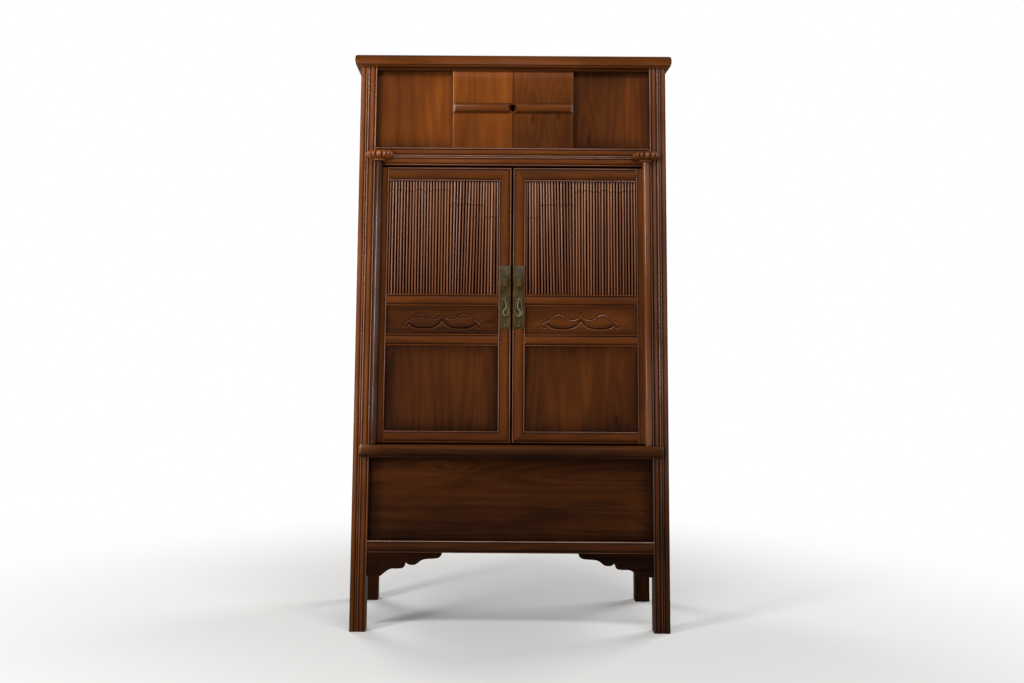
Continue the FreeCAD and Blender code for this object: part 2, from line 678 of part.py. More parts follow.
def slats():
    """Split bamboo slats of the right door, which fan with the lean of the hinge stile."""
    z0, z1 = SLAT_Z - GROOVE, DOOR_TOP_RAIL_Z + GROOVE
    count = int((hinge_in(z0) - MEET_IN) / SLAT_PITCH)
    half = SLAT_W / 2
    back = INFILL_FRONT + SLAT_T
    shoulder = back - SLAT_BACK_T
    rods = []
    for index in range(count):
        share = (index + 0.5) / count
        foot = MEET_IN + share * (hinge_in(z0) - MEET_IN)
        head = MEET_IN + share * (hinge_in(z1) - MEET_IN)
        left, right = foot - half, foot + half
        arc = Part.Arc(V(left, shoulder, z0), V(foot, INFILL_FRONT, z0), V(right, shoulder, z0))
        corners = [V(right, shoulder, z0), V(right, back, z0), V(left, back, z0), V(left, shoulder, z0)]
        edges = [arc.toShape()] + [Part.makeLine(a, b) for a, b in zip(corners, corners[1:])]
        rods.append(Part.Face(Part.Wire(edges)).extrude(V(head - foot, 0, z1 - z0)))
    return rods


def lock_plate():
    """Brass plate on the meeting stile of the right door."""
    return box(PLATE_X, PLATE_X + PLATE_W, PLATE_FRONT, DOOR_FRONT, PLATE_Z, PLATE_Z + PLATE_H)


def plate_nails():
    """Domed nails at the top and bottom of the right lock plate."""
    dome_r = (NAIL_HEAD_R ** 2 + NAIL_HEAD_H ** 2) / (2 * NAIL_HEAD_H)
    half_turn = math.asin(NAIL_HEAD_R / dome_r) / 2
    shoulder = V(dome_r * math.sin(half_turn), dome_r * (1 - math.cos(half_turn)) - NAIL_HEAD_H, 0)
    arc = Part.Arc(V(0, -NAIL_HEAD_H, 0), shoulder, V(NAIL_HEAD_R, 0, 0))
    corners = [V(NAIL_HEAD_R, 0, 0), V(NAIL_R, 0, 0), V(NAIL_R, NAIL_L, 0), V(0, NAIL_L, 0),
               V(0, -NAIL_HEAD_H, 0)]
    edges = [arc.toShape()] + [Part.makeLine(a, b) for a, b in zip(corners, corners[1:])]
    nail = Part.Face(Part.Wire(edges)).revolve(V(0, 0, 0), V(0, 1, 0), 360)
    heights = (PLATE_Z + NAIL_EDGE, PLATE_Z + PLATE_H - NAIL_EDGE)
    return [nail.translated(V(PLATE_MID, PLATE_FRONT, z)) for z in heights]


def lock_staple():
    """Padlock loop on the right lock plate, open from side to side, with a tang into the stile."""
    half = STAPLE_W / 2
    front = PLATE_FRONT - STAPLE_REACH
    loop = box(PLATE_MID - half, PLATE_MID + half, front, PLATE_FRONT, STAPLE_Z, STAPLE_Z + STAPLE_H)
    nose = [e for e in loop.Edges if runs_along(e, ALONG_X) and e.CenterOfMass.y < front + NEAR]
    loop = loop.makeFillet(STAPLE_BAR, nose)
    z0, z1 = STAPLE_Z + STAPLE_BAR, STAPLE_Z + STAPLE_H - STAPLE_BAR
    half_bar = STAPLE_BAR / 2
    eye = box(PLATE_MID - PAST, PLATE_MID + PAST, front + STAPLE_BAR, PLATE_FRONT - half_bar, z0, z1)
    tang_back = PLATE_FRONT + STAPLE_TANG
    tang = box(PLATE_MID - half_bar, PLATE_MID + half_bar, PLATE_FRONT, tang_back, z0, z1)
    return loop.cut(eye).fuse(tang).removeSplitter()


def pull_eye_blank():
    """Eye of the right pull before it is bored, with a tang into the stile."""
    base = V(PLATE_MID, PLATE_FRONT, EYE_Z)
    knob = Part.makeCylinder(EYE_R, EYE_REACH, base, V(0, -1, 0))
    tip = [e for e in knob.Edges if abs(e.CenterOfMass.y - (PLATE_FRONT - EYE_REACH)) < NEAR]
    knob = knob.makeFillet(EYE_R / 4, tip)
    return knob.fuse(Part.makeCylinder(EYE_TANG_R, EYE_TANG_L, base, V(0, 1, 0))).removeSplitter()


def pull_eye():
    """Eye of the right pull, bored from side to side for the wire of the drop."""
    start = V(PLATE_MID - 2 * EYE_R, EYE_Y, EYE_Z)
    bore = Part.makeCylinder(PULL_WIRE_R + PULL_WIRE_CLEAR, 4 * EYE_R, start, V(1, 0, 0))
    return pull_eye_blank().cut(bore)


def pull_drop():
    """Right pull drop: a pear-shaped loop of wire through the eye, with a bead at its foot."""
    half = EYE_R + PULL_SIDE_GAP
    corner = V(half, 0, -PULL_CORNER_R)
    belly = V(0, 0, -PULL_DROP)
    span = belly - corner
    heading = math.atan2(span.z, span.x) + math.asin((PULL_BELLY_R - PULL_CORNER_R) / span.Length)
    normal = V(-math.sin(heading), 0, math.cos(heading))
    shoulder = V(math.sin(-heading / 2), 0, math.cos(heading / 2))
    top = V(half, 0, 0)
    bend = corner + shoulder * PULL_CORNER_R
    leave = corner + normal * PULL_CORNER_R
    land = belly + normal * PULL_BELLY_R
    foot = belly - V(0, 0, PULL_BELLY_R)

    def other(point):
        return V(-point.x, point.y, point.z)

    path = Part.Wire([Part.makeLine(other(top), top), Part.Arc(top, bend, leave).toShape(),
                      Part.makeLine(leave, land), Part.Arc(land, foot, other(land)).toShape(),
                      Part.makeLine(other(land), other(leave)),
                      Part.Arc(other(leave), other(bend), other(top)).toShape()])
    section = Part.Wire(Part.Circle(other(top), V(1, 0, 0), PULL_WIRE_R).toShape())
    loop = path.makePipeShell([section], True, False)
    bead = Part.makeSphere(PULL_BEAD_R, foot, V(0, 1, 0))
    return loop.fuse(bead).Solids[0].translated(V(PLATE_MID, EYE_Y, EYE_Z))


def runs_along(edge, axis):
    """Whether a straight edge runs along an axis."""
    return abs(edge.tangentAt(edge.FirstParameter).dot(axis)) > PARALLEL


def build():
    """Every node's shape by name, each let into what holds it."""
    nodes = {}

    def pair(name, shape):
        nodes[name + "_right"] = shape
        nodes[name + "_left"] = mirrored(shape)

    def both(shape):
        return [shape, mirrored(shape)]

    mid, bottom = front_rail(MID_RAIL_Z, UPPER_Z), front_rail(BOTTOM_RAIL_Z, WELL_Z)
    door_sill, head = sill(), head_rail()
    loft, base = floor_board(UPPER_Z - FLOOR_DROP), floor_board(WELL_Z - FLOOR_DROP)
    well, upper, foot, capital = well_panel(), fixed_panel(), bracket(), capital_blank()
    rails, panels, backs, back_boards = side_rails(), side_panels(), rear_rails(), back_panels()
    lower_bore, upper_bore = pivot_bores()
    lower_track = slider_track(UPPER_Z - TRACK_DEPTH, UPPER_Z + PAST, SLIDER_FRONT, SLIDER_BACK)
    tongue_y = SLIDER_FRONT + SLIDER_BEVEL_D
    upper_track = slider_track(HEAD_RAIL_Z - PAST, HEAD_RAIL_Z + TRACK_TOP_DEPTH, tongue_y, SLIDER_BACK)

    # Carcass
    tenons = both(post_tenon(FRONT)) + both(post_tenon(REAR - POST_D))
    nodes["top_board"] = cut_all(top_board(), [head] + tenons)
    nodes["head_rail"] = cut_all(head, [upper_track] + both(upper))
    column_room = both(column_shaft(COLUMN_CLEAR))
    nodes["mid_rail"] = cut_all(mid, [lower_track, loft] + both(upper) + both(capital) + column_room)
    nodes["door_sill"] = cut_all(door_sill, [well] + both(lower_bore))
    nodes["bottom_rail"] = cut_all(bottom, [well, base] + both(foot))
    front_joints = [mid, bottom, door_sill, well, upper, capital, foot]
    pair("post_front", cut_all(front_post(), front_joints + rails + panels))
    pair("post_rear", cut_all(rear_post(), backs + back_boards + rails + panels))
    pair("side_rails", Part.makeCompound([cut_all(rail, panels + [loft, base]) for rail in rails]))
    pair("side_panels", Part.makeCompound(panels))
    rear = [cut_all(rail, back_boards + [loft, base]) for rail in backs]
    nodes["rear_rails"] = Part.makeCompound(rear)
    nodes["back_panels"] = Part.makeCompound(back_boards)
    pair("fixed_panel", upper)
    nodes["front_well_panel"] = well
    pair("apron_bracket", foot)
    pair("capital", capital.cut(upper_bore))
    nodes["loft_floor"] = loft
    nodes["base_floor"] = base
    nodes["shelf"] = shelf()
    pair("shelf_bearer", shelf_bearer())

    # Sliding panels
    pair("sliding_panel", sliding_panel())
    pair("panel_batten", batten())

    # Doors
    carved = door_panel(CARVED_PANEL_Z, CARVED_PANEL_H)
    lower = door_panel(LOWER_PANEL_Z, LOWER_PANEL_H)
    mid_rails = [door_mid_rail(LOWER_MID_Z), door_mid_rail(UPPER_MID_Z)]
    top_rail, bottom_rail = door_top_rail(), door_bottom_rail()
    nails, staple, eye, plate = plate_nails(), lock_staple(), pull_eye_blank(), lock_plate()
    infill = [carved, lower, slat_slot()]
    fittings = nails + [staple, eye]
    pair("pivot_column", pivot_column())
    pair("hinge_stile", cut_all(hinge_stile(), mid_rails + [top_rail, bottom_rail, carved, lower]))
    pair("meeting_stile", cut_all(meeting_stile(), mid_rails + [carved, lower] + fittings))
    pair("door_top_rail", cut_all(top_rail, infill))
    pair("door_mid_rails", Part.makeCompound([cut_all(rail, infill) for rail in mid_rails]))
    pair("door_bottom_rail", cut_all(bottom_rail, infill))
    pair("bamboo_slats", Part.makeCompound(slats()))
    pair("carved_panel", carved)
    pair("lower_panel", lower)
    pair("lock_plate", cut_all(plate, fittings))
    pair("plate_nails", Part.makeCompound(nails))
    pair("lock_staple", staple)
    pair("pull_eye", pull_eye())
    pair("pull_drop", pull_drop())
    return nodes


def main():
    """Write every node to its own file."""
    os.makedirs("parts", exist_ok=True)
    for name, shape in build().items():
        shape.exportStep(f"parts/{name}.step")
        state = "valid" if shape.isValid() else "INVALID"
        print(name, len(shape.Solids), "solids", round(shape.Volume / 1000, 1), "cm3", state)


main()
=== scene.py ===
"""Looks of a tall tapered cabinet: reeded posts, slatted pivot doors, sliding upper panels and brass pulls.

Metres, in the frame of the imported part: X to the right, the front faces -Y, Z up, the floor at zero.
Right-hand pieces are worked out first, and left-hand ones are the same arrays mirrored in X.
"""
import json
import logging
import math
from dataclasses import dataclass, replace
from enum import Enum
from typing import Callable, Mapping, Sequence, Union

import bpy
import numpy as np
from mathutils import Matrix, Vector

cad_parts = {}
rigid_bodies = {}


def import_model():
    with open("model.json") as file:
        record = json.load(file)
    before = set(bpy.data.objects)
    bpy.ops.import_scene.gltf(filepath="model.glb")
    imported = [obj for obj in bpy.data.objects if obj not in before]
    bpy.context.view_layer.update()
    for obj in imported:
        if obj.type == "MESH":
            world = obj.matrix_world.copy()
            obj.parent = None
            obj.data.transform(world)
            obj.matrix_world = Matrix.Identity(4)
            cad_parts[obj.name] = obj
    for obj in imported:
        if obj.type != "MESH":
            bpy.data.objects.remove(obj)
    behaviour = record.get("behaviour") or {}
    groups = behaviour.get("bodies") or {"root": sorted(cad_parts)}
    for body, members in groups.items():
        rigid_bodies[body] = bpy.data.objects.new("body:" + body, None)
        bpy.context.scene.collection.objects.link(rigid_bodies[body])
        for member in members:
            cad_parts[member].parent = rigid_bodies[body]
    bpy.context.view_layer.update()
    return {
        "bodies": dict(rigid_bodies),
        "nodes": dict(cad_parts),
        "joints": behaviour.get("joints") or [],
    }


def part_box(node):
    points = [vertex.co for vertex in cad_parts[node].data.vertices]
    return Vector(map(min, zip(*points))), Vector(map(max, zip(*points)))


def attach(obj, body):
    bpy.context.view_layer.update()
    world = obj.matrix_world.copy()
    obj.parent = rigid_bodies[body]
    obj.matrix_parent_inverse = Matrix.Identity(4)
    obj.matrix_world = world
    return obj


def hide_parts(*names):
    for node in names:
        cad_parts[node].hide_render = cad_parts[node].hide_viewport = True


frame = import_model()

LOG = logging.getLogger("cabinet")
RNG = np.random.default_rng(7)
MM = 0.001
CREASE = math.radians(34)
# Points across a strip of moulding, and copies of a section along a lying and a standing bar
STRIP_POINTS = 11
BAR_RINGS = 9
POST_RINGS = 15
# Wear of a plain bar's faces and of a square body, and how much more a corner has
FLAT_WEAR = 0.5
BODY_WEAR = 0.4
CORNER_RUB = 0.35
# Grid lines and rounding of a flat panel, and the width of the darkening along its rim: grime and painted
# shade
PANEL_ROWS = 13
PANEL_COLUMNS = 17
PANEL_ROUND = 1.5 * MM
SHADE_AND_GRIME_WIDTH = 70 * MM
# Painted shade towards the floor: how high it reaches, how much it darkens the tone, and how much it lowers
# the rubbing value, dulling the gloss too
LOW_SHADE_HEIGHT = 0.75
LOW_SHADE_TONE = 0.16
LOW_SHADE_ON_WEAR = 1.5
# How far apart the shells lie in the grain's pattern
GRAIN_SPREAD = 40

Array = np.ndarray
Edge = Callable[[Array], Array]
End = Callable[[Array, Array], Array]


class Side(Enum):
    """The two halves of the cabinet, with the sign of X on each."""

    LEFT = -1
    RIGHT = 1

    def node(self, stem: str) -> str:
        """Name of a paired node on this side."""
        return f"{stem}_{self.name.lower()}"


class Grain(Enum):
    """Which way the fibres run: the axes that lie along, across and into the board."""

    ALONG_X = (0, 2, 1)
    ALONG_Y = (1, 2, 0)
    ALONG_Z = (2, 0, 1)


class Look(Enum):
    """Looks of the pieces, and the material slot of the record that each stands for."""

    FRAME = ("frame", "wood_frame")
    DULL_FRAME = ("dull frame", "wood_frame")
    PANEL = ("panel", "wood_panel")
    DULL_PANEL = ("dull panel", "wood_panel")
    BAMBOO = ("bamboo", "bamboo")
    BRASS = ("brass", "brass")
    WIRE = ("wire", "brass")

    @property
    def slot(self) -> str:
        """Name of the material slot."""
        return self.value[1]


def spans(node: str) -> tuple[tuple[float, float], ...]:
    """Lowest and highest place of a node along X, Y and Z."""
    return tuple(zip(*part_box(node)))


def span(node: str, axis: int) -> tuple[float, float]:
    """Lowest and highest place of a node along one axis: 0, 1 or 2 for X, Y or Z."""
    return spans(node)[axis]


def scatter(reach: float, shape: int | tuple[int, ...]) -> Array:
    """Random values up to a reach either way."""
    return RNG.uniform(-reach, reach, shape)


def sideways(along: Array) -> Array:
    """Unit vectors a quarter turn from flat directions."""
    return np.stack([-along[:, 1], along[:, 0]], axis=-1) / np.linalg.norm(along, axis=1, keepdims=True)


def lattice(x: Array | float, y: Array | float, z: Array | float) -> Array:
    """Points from three coordinates, spread to one shape."""
    return np.stack(np.broadcast_arrays(x, y, z), axis=-1)


def to_rim(x: Array, left: Array | float, right: Array | float, z: Array, low: float, high: float) -> Array:
    """Distance from places on a panel to the nearest of its four edges."""
    return np.minimum(np.minimum(z - low, high - z), np.minimum(x - left, right - x))


def bell(distance: Array, width: float) -> Array:
    """One at no distance, falling off as the exponential of minus the square of distance over width."""
    return np.exp(-(distance / width) ** 2)


@dataclass(frozen=True)
class Layout:
    """Leaning edges, planes and levels of the cabinet, read from the frame."""

    slope: float
    outer_foot: float
    inner_foot: float
    column_foot: float
    hinge_foot: float
    column_y: float
    column_r: float
    post_top: float
    groove: float

    @classmethod
    def read(cls) -> "Layout":
        """Take the lean from the door's hinge line and the edges from the boxes of posts and stiles.

        Returns:
            The layout.
        """
        hinge = next(joint for joint in frame["joints"] if joint["name"] == "door_right_swing")
        slope = -hinge["axis"][0] / hinge["axis"][2]
        column_foot = hinge["pos_m"][0] + slope * hinge["pos_m"][2]
        post_top = span("top_board", 2)[0]
        inner_top, outer_foot = span("post_front_right", 0)
        column_front, column_back = span("pivot_column_right", 1)
        hinge_top = span("hinge_stile_right", 0)[0] + slope * span("hinge_stile_right", 2)[1]
        groove = span("door_mid_rails_right", 2)[1] - span("bamboo_slats_right", 2)[0]
        return cls(slope, outer_foot, inner_top + slope * post_top, column_foot, hinge_top, hinge["pos_m"][1],
                   (column_back - column_front) / 2, post_top, groove)

    def outer(self, z: Array) -> Array:
        """Outer face of the right-hand posts at height z."""
        return self.outer_foot - self.slope * z

    def inner(self, z: Array) -> Array:
        """Inner face of the right-hand posts at height z."""
        return self.inner_foot - self.slope * z

    def column(self, z: Array) -> Array:
        """Axis of the right-hand column at height z."""
        return self.column_foot - self.slope * z

    def hinge(self, z: Array) -> Array:
        """Inner edge of the right-hand door's hinge stile at height z."""
        return self.hinge_foot - self.slope * z

    def inset(self, node: str) -> float:
        """How far the right end of a node lies inside the outer face of the posts."""
        return self.outer(span(node, 2)[0]) - span(node, 0)[1]


LAYOUT = Layout.read()


@dataclass
class Surface:
    """One closed shell of quads and flat caps, with each point's rubbing and painted light and shade."""

    points: Array
    quads: Array
    caps: list[Array]
    wear: Array
    tone: float = 0.0

    def mirrored(self, side: Side) -> "Surface":
        """The same shell on the given side of the cabinet."""
        return replace(self, points=self.points * np.array([side.value, 1.0, 1.0]))

    def faces_out(self, start: int) -> list[list[int]]:
        """Faces that point outwards: all are turned round when the volume they enclose comes out negative.

        Args:
            start: number of this shell's first point in the whole mesh.

        Returns:
            Corner numbers of every quad and cap.
        """
        fans = [np.stack([np.full(len(cap) - 2, cap[0]), cap[1:-1], cap[2:]], axis=1) for cap in self.caps]
        triangles = np.concatenate([self.quads[:, [0, 1, 2]], self.quads[:, [0, 2, 3]], *fans])
        a, b, c = self.points[triangles].transpose(1, 0, 2)
        volume = np.einsum("ij,ij->", a, np.cross(b, c))
        step = 1 if volume > 0 else -1
        caps = [(cap[::step] + start).tolist() for cap in self.caps]
        return (self.quads[:, ::step] + start).tolist() + caps


def tube(rings: Array, wear: Array, looped: bool = False) -> Surface:
    """Skin over a stack of closed rings, with a flat cap on each end unless the stack closes on itself.

    Args:
        rings: points of shape (rings, points in a ring, 3).
        wear: rubbing and painted light of each point, of a shape that fits (rings, points in a ring).
        looped: whether the last ring joins the first.

    Returns:
        The closed shell.
    """
    count, width = rings.shape[:2]
    index = np.arange(count * width).reshape(count, width)
    lower = index if looped else index[:-1]
    upper = np.roll(index, -1, axis=0) if looped else index[1:]
    quads = np.stack([lower, np.roll(lower, -1, 1), np.roll(upper, -1, 1), upper], axis=-1).reshape(-1, 4)
    caps = [] if looped else [index[0][::-1], index[-1]]
    return Surface(rings.reshape(-1, 3), quads, caps, np.broadcast_to(wear, (count, width)).ravel())


def relief(front: Array, behind: Edge, wear: Array) -> Surface:
    """Board whose face is a grid of points, closed by walls and a plain back.

    Args:
        front: points of the face, of shape (rows, columns, 3).
        behind: gives the back's border from the face's border.
        wear: rubbing and painted light of each point of the face.

    Returns:
        The closed shell.
    """
    rows, columns = front.shape[:2]
    index = np.arange(rows * columns).reshape(rows, columns)
    corners = [index[:-1, :-1], index[:-1, 1:], index[1:, 1:], index[1:, :-1]]
    quads = np.stack(corners, axis=-1).reshape(-1, 4)
    rim = np.concatenate([index[0, :-1], index[:-1, -1], index[-1, :0:-1], index[:0:-1, 0]])
    rear = rows * columns + np.arange(len(rim))
    walls = np.stack([rim, rear, np.roll(rear, -1), np.roll(rim, -1)], axis=-1)
    points = front.reshape(-1, 3)
    worn_and_lit = np.broadcast_to(wear, (rows, columns)).ravel()
    return Surface(np.concatenate([points, behind(points[rim])]), np.concatenate([quads, walls]),
                   [rear[::-1]], np.concatenate([worn_and_lit, worn_and_lit[rim]]))


def flat_back(y: float) -> Edge:
    """Back of a front panel: the border brought to one Y."""
    return lambda border: np.column_stack([border[:, 0], np.full(len(border), y), border[:, 2]])


@dataclass(frozen=True)
class Strip:
    """One strip of a moulded face: width, height of its edges, rise of its middle, roundness, and rubbing
    with painted light: lighter for a highlight, darker below zero for shade.
    """

    width: float
    base: float = 0.0
    rise: float = 0.0
    power: float = 1.0
    rub_and_light: float = 0.0


# Bead crests go pale: rubbing, and painted highlight; a quirk is darkened: painted shade in the narrow
# groove.
BEAD = Strip(4.2, 0.3, 2.6, rub_and_light=0.55)
SOFT_BEAD = Strip(4.2, 0.3, 2.6, rub_and_light=0.38)
RUBBED_BEAD = Strip(4.2, 0.3, 2.6, rub_and_light=1.0)
QUIRK = Strip(1.6, rub_and_light=-0.35)


def band(width: float, rise: float = 3.2, power: float = 1.6) -> Strip:
    """Broad, crowned strip of a moulded face.

    Args:
        width: width in millimetres.
        rise: rise of its middle in millimetres.
        power: one for an elliptic crown, and more for a softer one.

    Returns:
        The strip.
    """
    return Strip(width, 0.8, rise, power)


def moulded(strips: Sequence[Strip], total: float) -> Array:
    """Line across a moulded face: on each strip the height is its base plus its rise times a sine to a power.

    Args:
        strips: the strips in order, in millimetres.
        total: width that they fill, in metres.

    Returns:
        Columns of place across the face, height above its floor, and rubbing with painted light and shade.
    """
    widths = np.array([strip.width for strip in strips])
    edges = np.concatenate([[0.0], np.cumsum(widths)]) * total / widths.sum()
    turn = np.linspace(0, math.pi, STRIP_POINTS)
    place = edges[:-1, None] + np.diff(edges)[:, None] * (1 - np.cos(turn)) / 2
    sizes = np.array([(strip.base, strip.rise, strip.power, strip.rub_and_light) for strip in strips])
    base, rise, power, rub_and_light = sizes.T[..., None]
    swell = np.sin(turn).clip(0) ** power
    height = (base + rise * swell) * MM
    # Higher parts lighter and hollows darker: rubbing, with grime and painted shade in the hollows, plus each
    # strip's painted highlight or shade.
    worn_and_lit = 0.1 + 0.55 * height / height.max() + rub_and_light * np.where(rub_and_light > 0, swell, 1.0)
    line = np.stack([place.ravel(), height.ravel(), worn_and_lit.ravel()], axis=1)
    moved = np.linalg.norm(np.diff(line[:, :2], axis=0), axis=1) > 1e-7
    return line[np.concatenate([[True], moved])]


def rounded(corners: Sequence[Sequence[float]], radius: float, steps: int = 5) -> Array:
    """Closed outline with each corner eased by a quadratic curve between two points on its sides.

    Args:
        corners: corners in order.
        radius: how far from each corner the easing starts.
        steps: points on each eased corner.

    Returns:
        Columns of the two coordinates and the wear.
    """
    corner = np.asarray(corners, float)
    before, after = np.roll(corner, 1, 0) - corner, np.roll(corner, -1, 0) - corner
    starts = corner + before * np.minimum(radius / np.linalg.norm(before, axis=1), 0.45)[:, None]
    ends = corner + after * np.minimum(radius / np.linalg.norm(after, axis=1), 0.45)[:, None]
    t = np.linspace(0, 1, steps)[None, :, None]
    curve = (1 - t) ** 2 * starts[:, None] + 2 * t * (1 - t) * corner[:, None] + t ** 2 * ends[:, None]
    worn_and_lit = np.broadcast_to(FLAT_WEAR + CORNER_RUB * np.sin(t[..., 0] * math.pi), curve.shape[:2])
    return np.column_stack([curve.reshape(-1, 2), worn_and_lit.ravel()])


def squared(near: float, far: float, low: float, high: float, radius: float, steps: int = 5) -> Array:
    """Section of a plain bar with eased corners, from near to far and from low to high."""
    return rounded([(near, low), (near, high), (far, high), (far, low)], radius, steps)


def along_x(profile: Array, left: End, right: End) -> Surface:
    """Carry a profile in X from the left end to the right end.

    Args:
        profile: columns of y, z, and rubbing with painted light.
        left: X of the left end as a function of y and z.
        right: X of the right end as a function of y and z.

    Returns:
        The closed bar.
    """
    y, z, wear = profile.T
    share = np.linspace(0, 1, BAR_RINGS)[:, None]
    return tube(lattice(left(y, z) * (1 - share) + right(y, z) * share, y, z), wear)


def along_y(profile: Array, front: float, rear: float, edge: Edge) -> Surface:
    """Carry a profile in Y, its depth counted inwards from a leaning edge.

    Args:
        profile: columns of depth, z, and rubbing with painted light.
        front: first Y.
        rear: last Y.
        edge: X of the leaning edge at a height.

    Returns:
        The closed bar.
    """
    depth, z, wear = profile.T
    y = np.linspace(front, rear, BAR_RINGS)[:, None]
    return tube(lattice(edge(z) - depth, y, z), wear)


def along_z(profile: Array, foot: Edge, head: Edge, edge: Edge) -> Surface:
    """Carry a profile up a leaning edge, between ends that may be mitred.

    Args:
        profile: columns of x from the edge, y, and rubbing with painted light.
        foot: lowest Z as a function of x.
        head: highest Z as a function of x.
        edge: X of the leaning edge at a height.

    Returns:
        The closed bar.
    """
    x, y, wear = profile.T
    share = np.linspace(0, 1, POST_RINGS)[:, None]
    z = foot(x) * (1 - share) + head(x) * share
    return tube(lattice(edge(z) + x, y, z), wear)


def level(height: float) -> Edge:
    """Flat end of a bar, at one height whatever the place across it."""
    return lambda across: np.full(np.shape(across), height)


def faced(face: Array, start: float, floor: float, rest: Sequence[Sequence[float]]) -> Array:
    """Closed profile: a moulded face and, behind it, a plain body.

    Args:
        face: line across the face, as moulded() gives it.
        start: where the face begins, across it.
        floor: Y of the lowest parts of the face.
        rest: remaining corners as pairs of y and place across, after the face's end.

    Returns:
        Columns of y, place across, and rubbing with painted light.
    """
    front = np.column_stack([floor - face[:, 1], start + face[:, 0], face[:, 2]])
    back = np.array([[y, place, BODY_WEAR] for y, place in rest])
    return np.concatenate([front, back])


def bar_section(strips: Sequence[Strip], start: float, end: float, floor: float, back: float) -> Array:
    """Section of a bar with a moulded face and a square back, as columns of y, place across, and rubbing with
    painted light.
    """
    return faced(moulded(strips, end - start), start, floor, [(back, end), (back, start)])


def post_section(strips: Sequence[Strip], width: float, floor: float, back: float) -> Array:
    """The same section for a standing bar, as columns of place across, y and wear."""
    return bar_section(strips, 0.0, width, floor, back)[:, [1, 0, 2]]


def eased(distance: Array, radius: float) -> Array:
    """Setback of a rounded edge: none beyond the radius, and a quarter circle within it."""
    inside = (radius - distance).clip(0, radius)
    return radius - np.sqrt(radius ** 2 - inside ** 2)


def stations(start: float, end: float, radius: float, count: int) -> Array:
    """Places from start to end, closer together within a rounded edge at both ends.

    Args:
        start: first place.
        end: last place.
        radius: width of each rounded edge.
        count: places between the edges.

    Returns:
        The places in order.
    """
    turn = radius * (1 - np.cos(np.linspace(0, math.pi / 2, 6)))
    between = np.linspace(start + radius, end - radius, count)
    return np.concatenate([start + turn[:-1], between, end - turn[-2::-1]])


def smooth_line(knots: Sequence[Sequence[float]], steps: int = 12) -> Array:
    """Curve through points: between two of them a cubic whose slopes follow their neighbours.

    Args:
        knots: points to pass through.
        steps: points for each stretch.

    Returns:
        Points along the curve.
    """
    knot = np.asarray(knots, float)
    padded = np.concatenate([[2 * knot[0] - knot[1]], knot, [2 * knot[-1] - knot[-2]]])
    a, b, c, d = padded[:-3, None], padded[1:-2, None], padded[2:-1, None], padded[3:, None]
    t = np.linspace(0, 1, steps, endpoint=False)[None, :, None]
    square = a - 2.5 * b + 2 * c - d / 2
    cube = (d - a) / 2 + 1.5 * (b - c)
    curve = b + t * (c - a) / 2 + t ** 2 * square + t ** 3 * cube
    return np.concatenate([curve.reshape(-1, knot.shape[1]), knot[-1:]])


Source = Union[float, Sequence[float], "Value", bpy.types.NodeSocket]


class Value:
    """A number in a shader, whose arithmetic adds Math nodes."""

    def __init__(self, shader: "Shader", socket: bpy.types.NodeSocket) -> None:
        """Wrap one output of a node."""
        self.shader = shader
        self.socket = socket

    def math(self, operation: str, first: Source, second: Source = 0.0) -> "Value":
        """Result of one Math node.

        Args:
            operation: the node's operation.
            first: its first value.
            second: its second value.

        Returns:
            The result.
        """
        return self.shader.value("ShaderNodeMath", {"operation": operation}, {0: first, 1: second})

    def __add__(self, other: Source) -> "Value":
        """Sum."""
        return self.math("ADD", self, other)

    def __radd__(self, other: Source) -> "Value":
        """Sum, from the right."""
        return self.math("ADD", other, self)

    def __sub__(self, other: Source) -> "Value":
        """Difference."""
        return self.math("SUBTRACT", self, other)

    def __rsub__(self, other: Source) -> "Value":
        """Difference, from the right."""
        return self.math("SUBTRACT", other, self)

    def __mul__(self, other: Source) -> "Value":
        """Product."""
        return self.math("MULTIPLY", self, other)

    def __rmul__(self, other: Source) -> "Value":
        """Product, from the right."""
        return self.math("MULTIPLY", other, self)

    def __gt__(self, other: Source) -> "Value":
        """One where this is greater, and zero elsewhere."""
        return self.math("GREATER_THAN", self, other)

    def sine(self) -> "Value":
        """Sine of the value."""
        return self.math("SINE", self)

    def least(self, other: Source) -> "Value":
        """The smaller of two values."""
        return self.math("MINIMUM", self, other)

    def clipped(self) -> "Value":
        """The value kept between zero and one."""
        return self.math("MAXIMUM", self.math("MINIMUM", self, 1.0), 0.0)


def srgb(red: int, green: int, blue: int) -> tuple[float, float, float, float]:
    """Linear colour of a screen colour.

    Args:
        red: red from 0 to 255.
        green: green from 0 to 255.
        blue: blue from 0 to 255.

    Returns:
        Red, green, blue and a full alpha.
    """
    share = np.array([red, green, blue]) / 255
    linear = np.where(share <= 0.04045, share / 12.92, ((share + 0.055) / 1.055) ** 2.4)
    return (*linear.tolist(), 1.0)


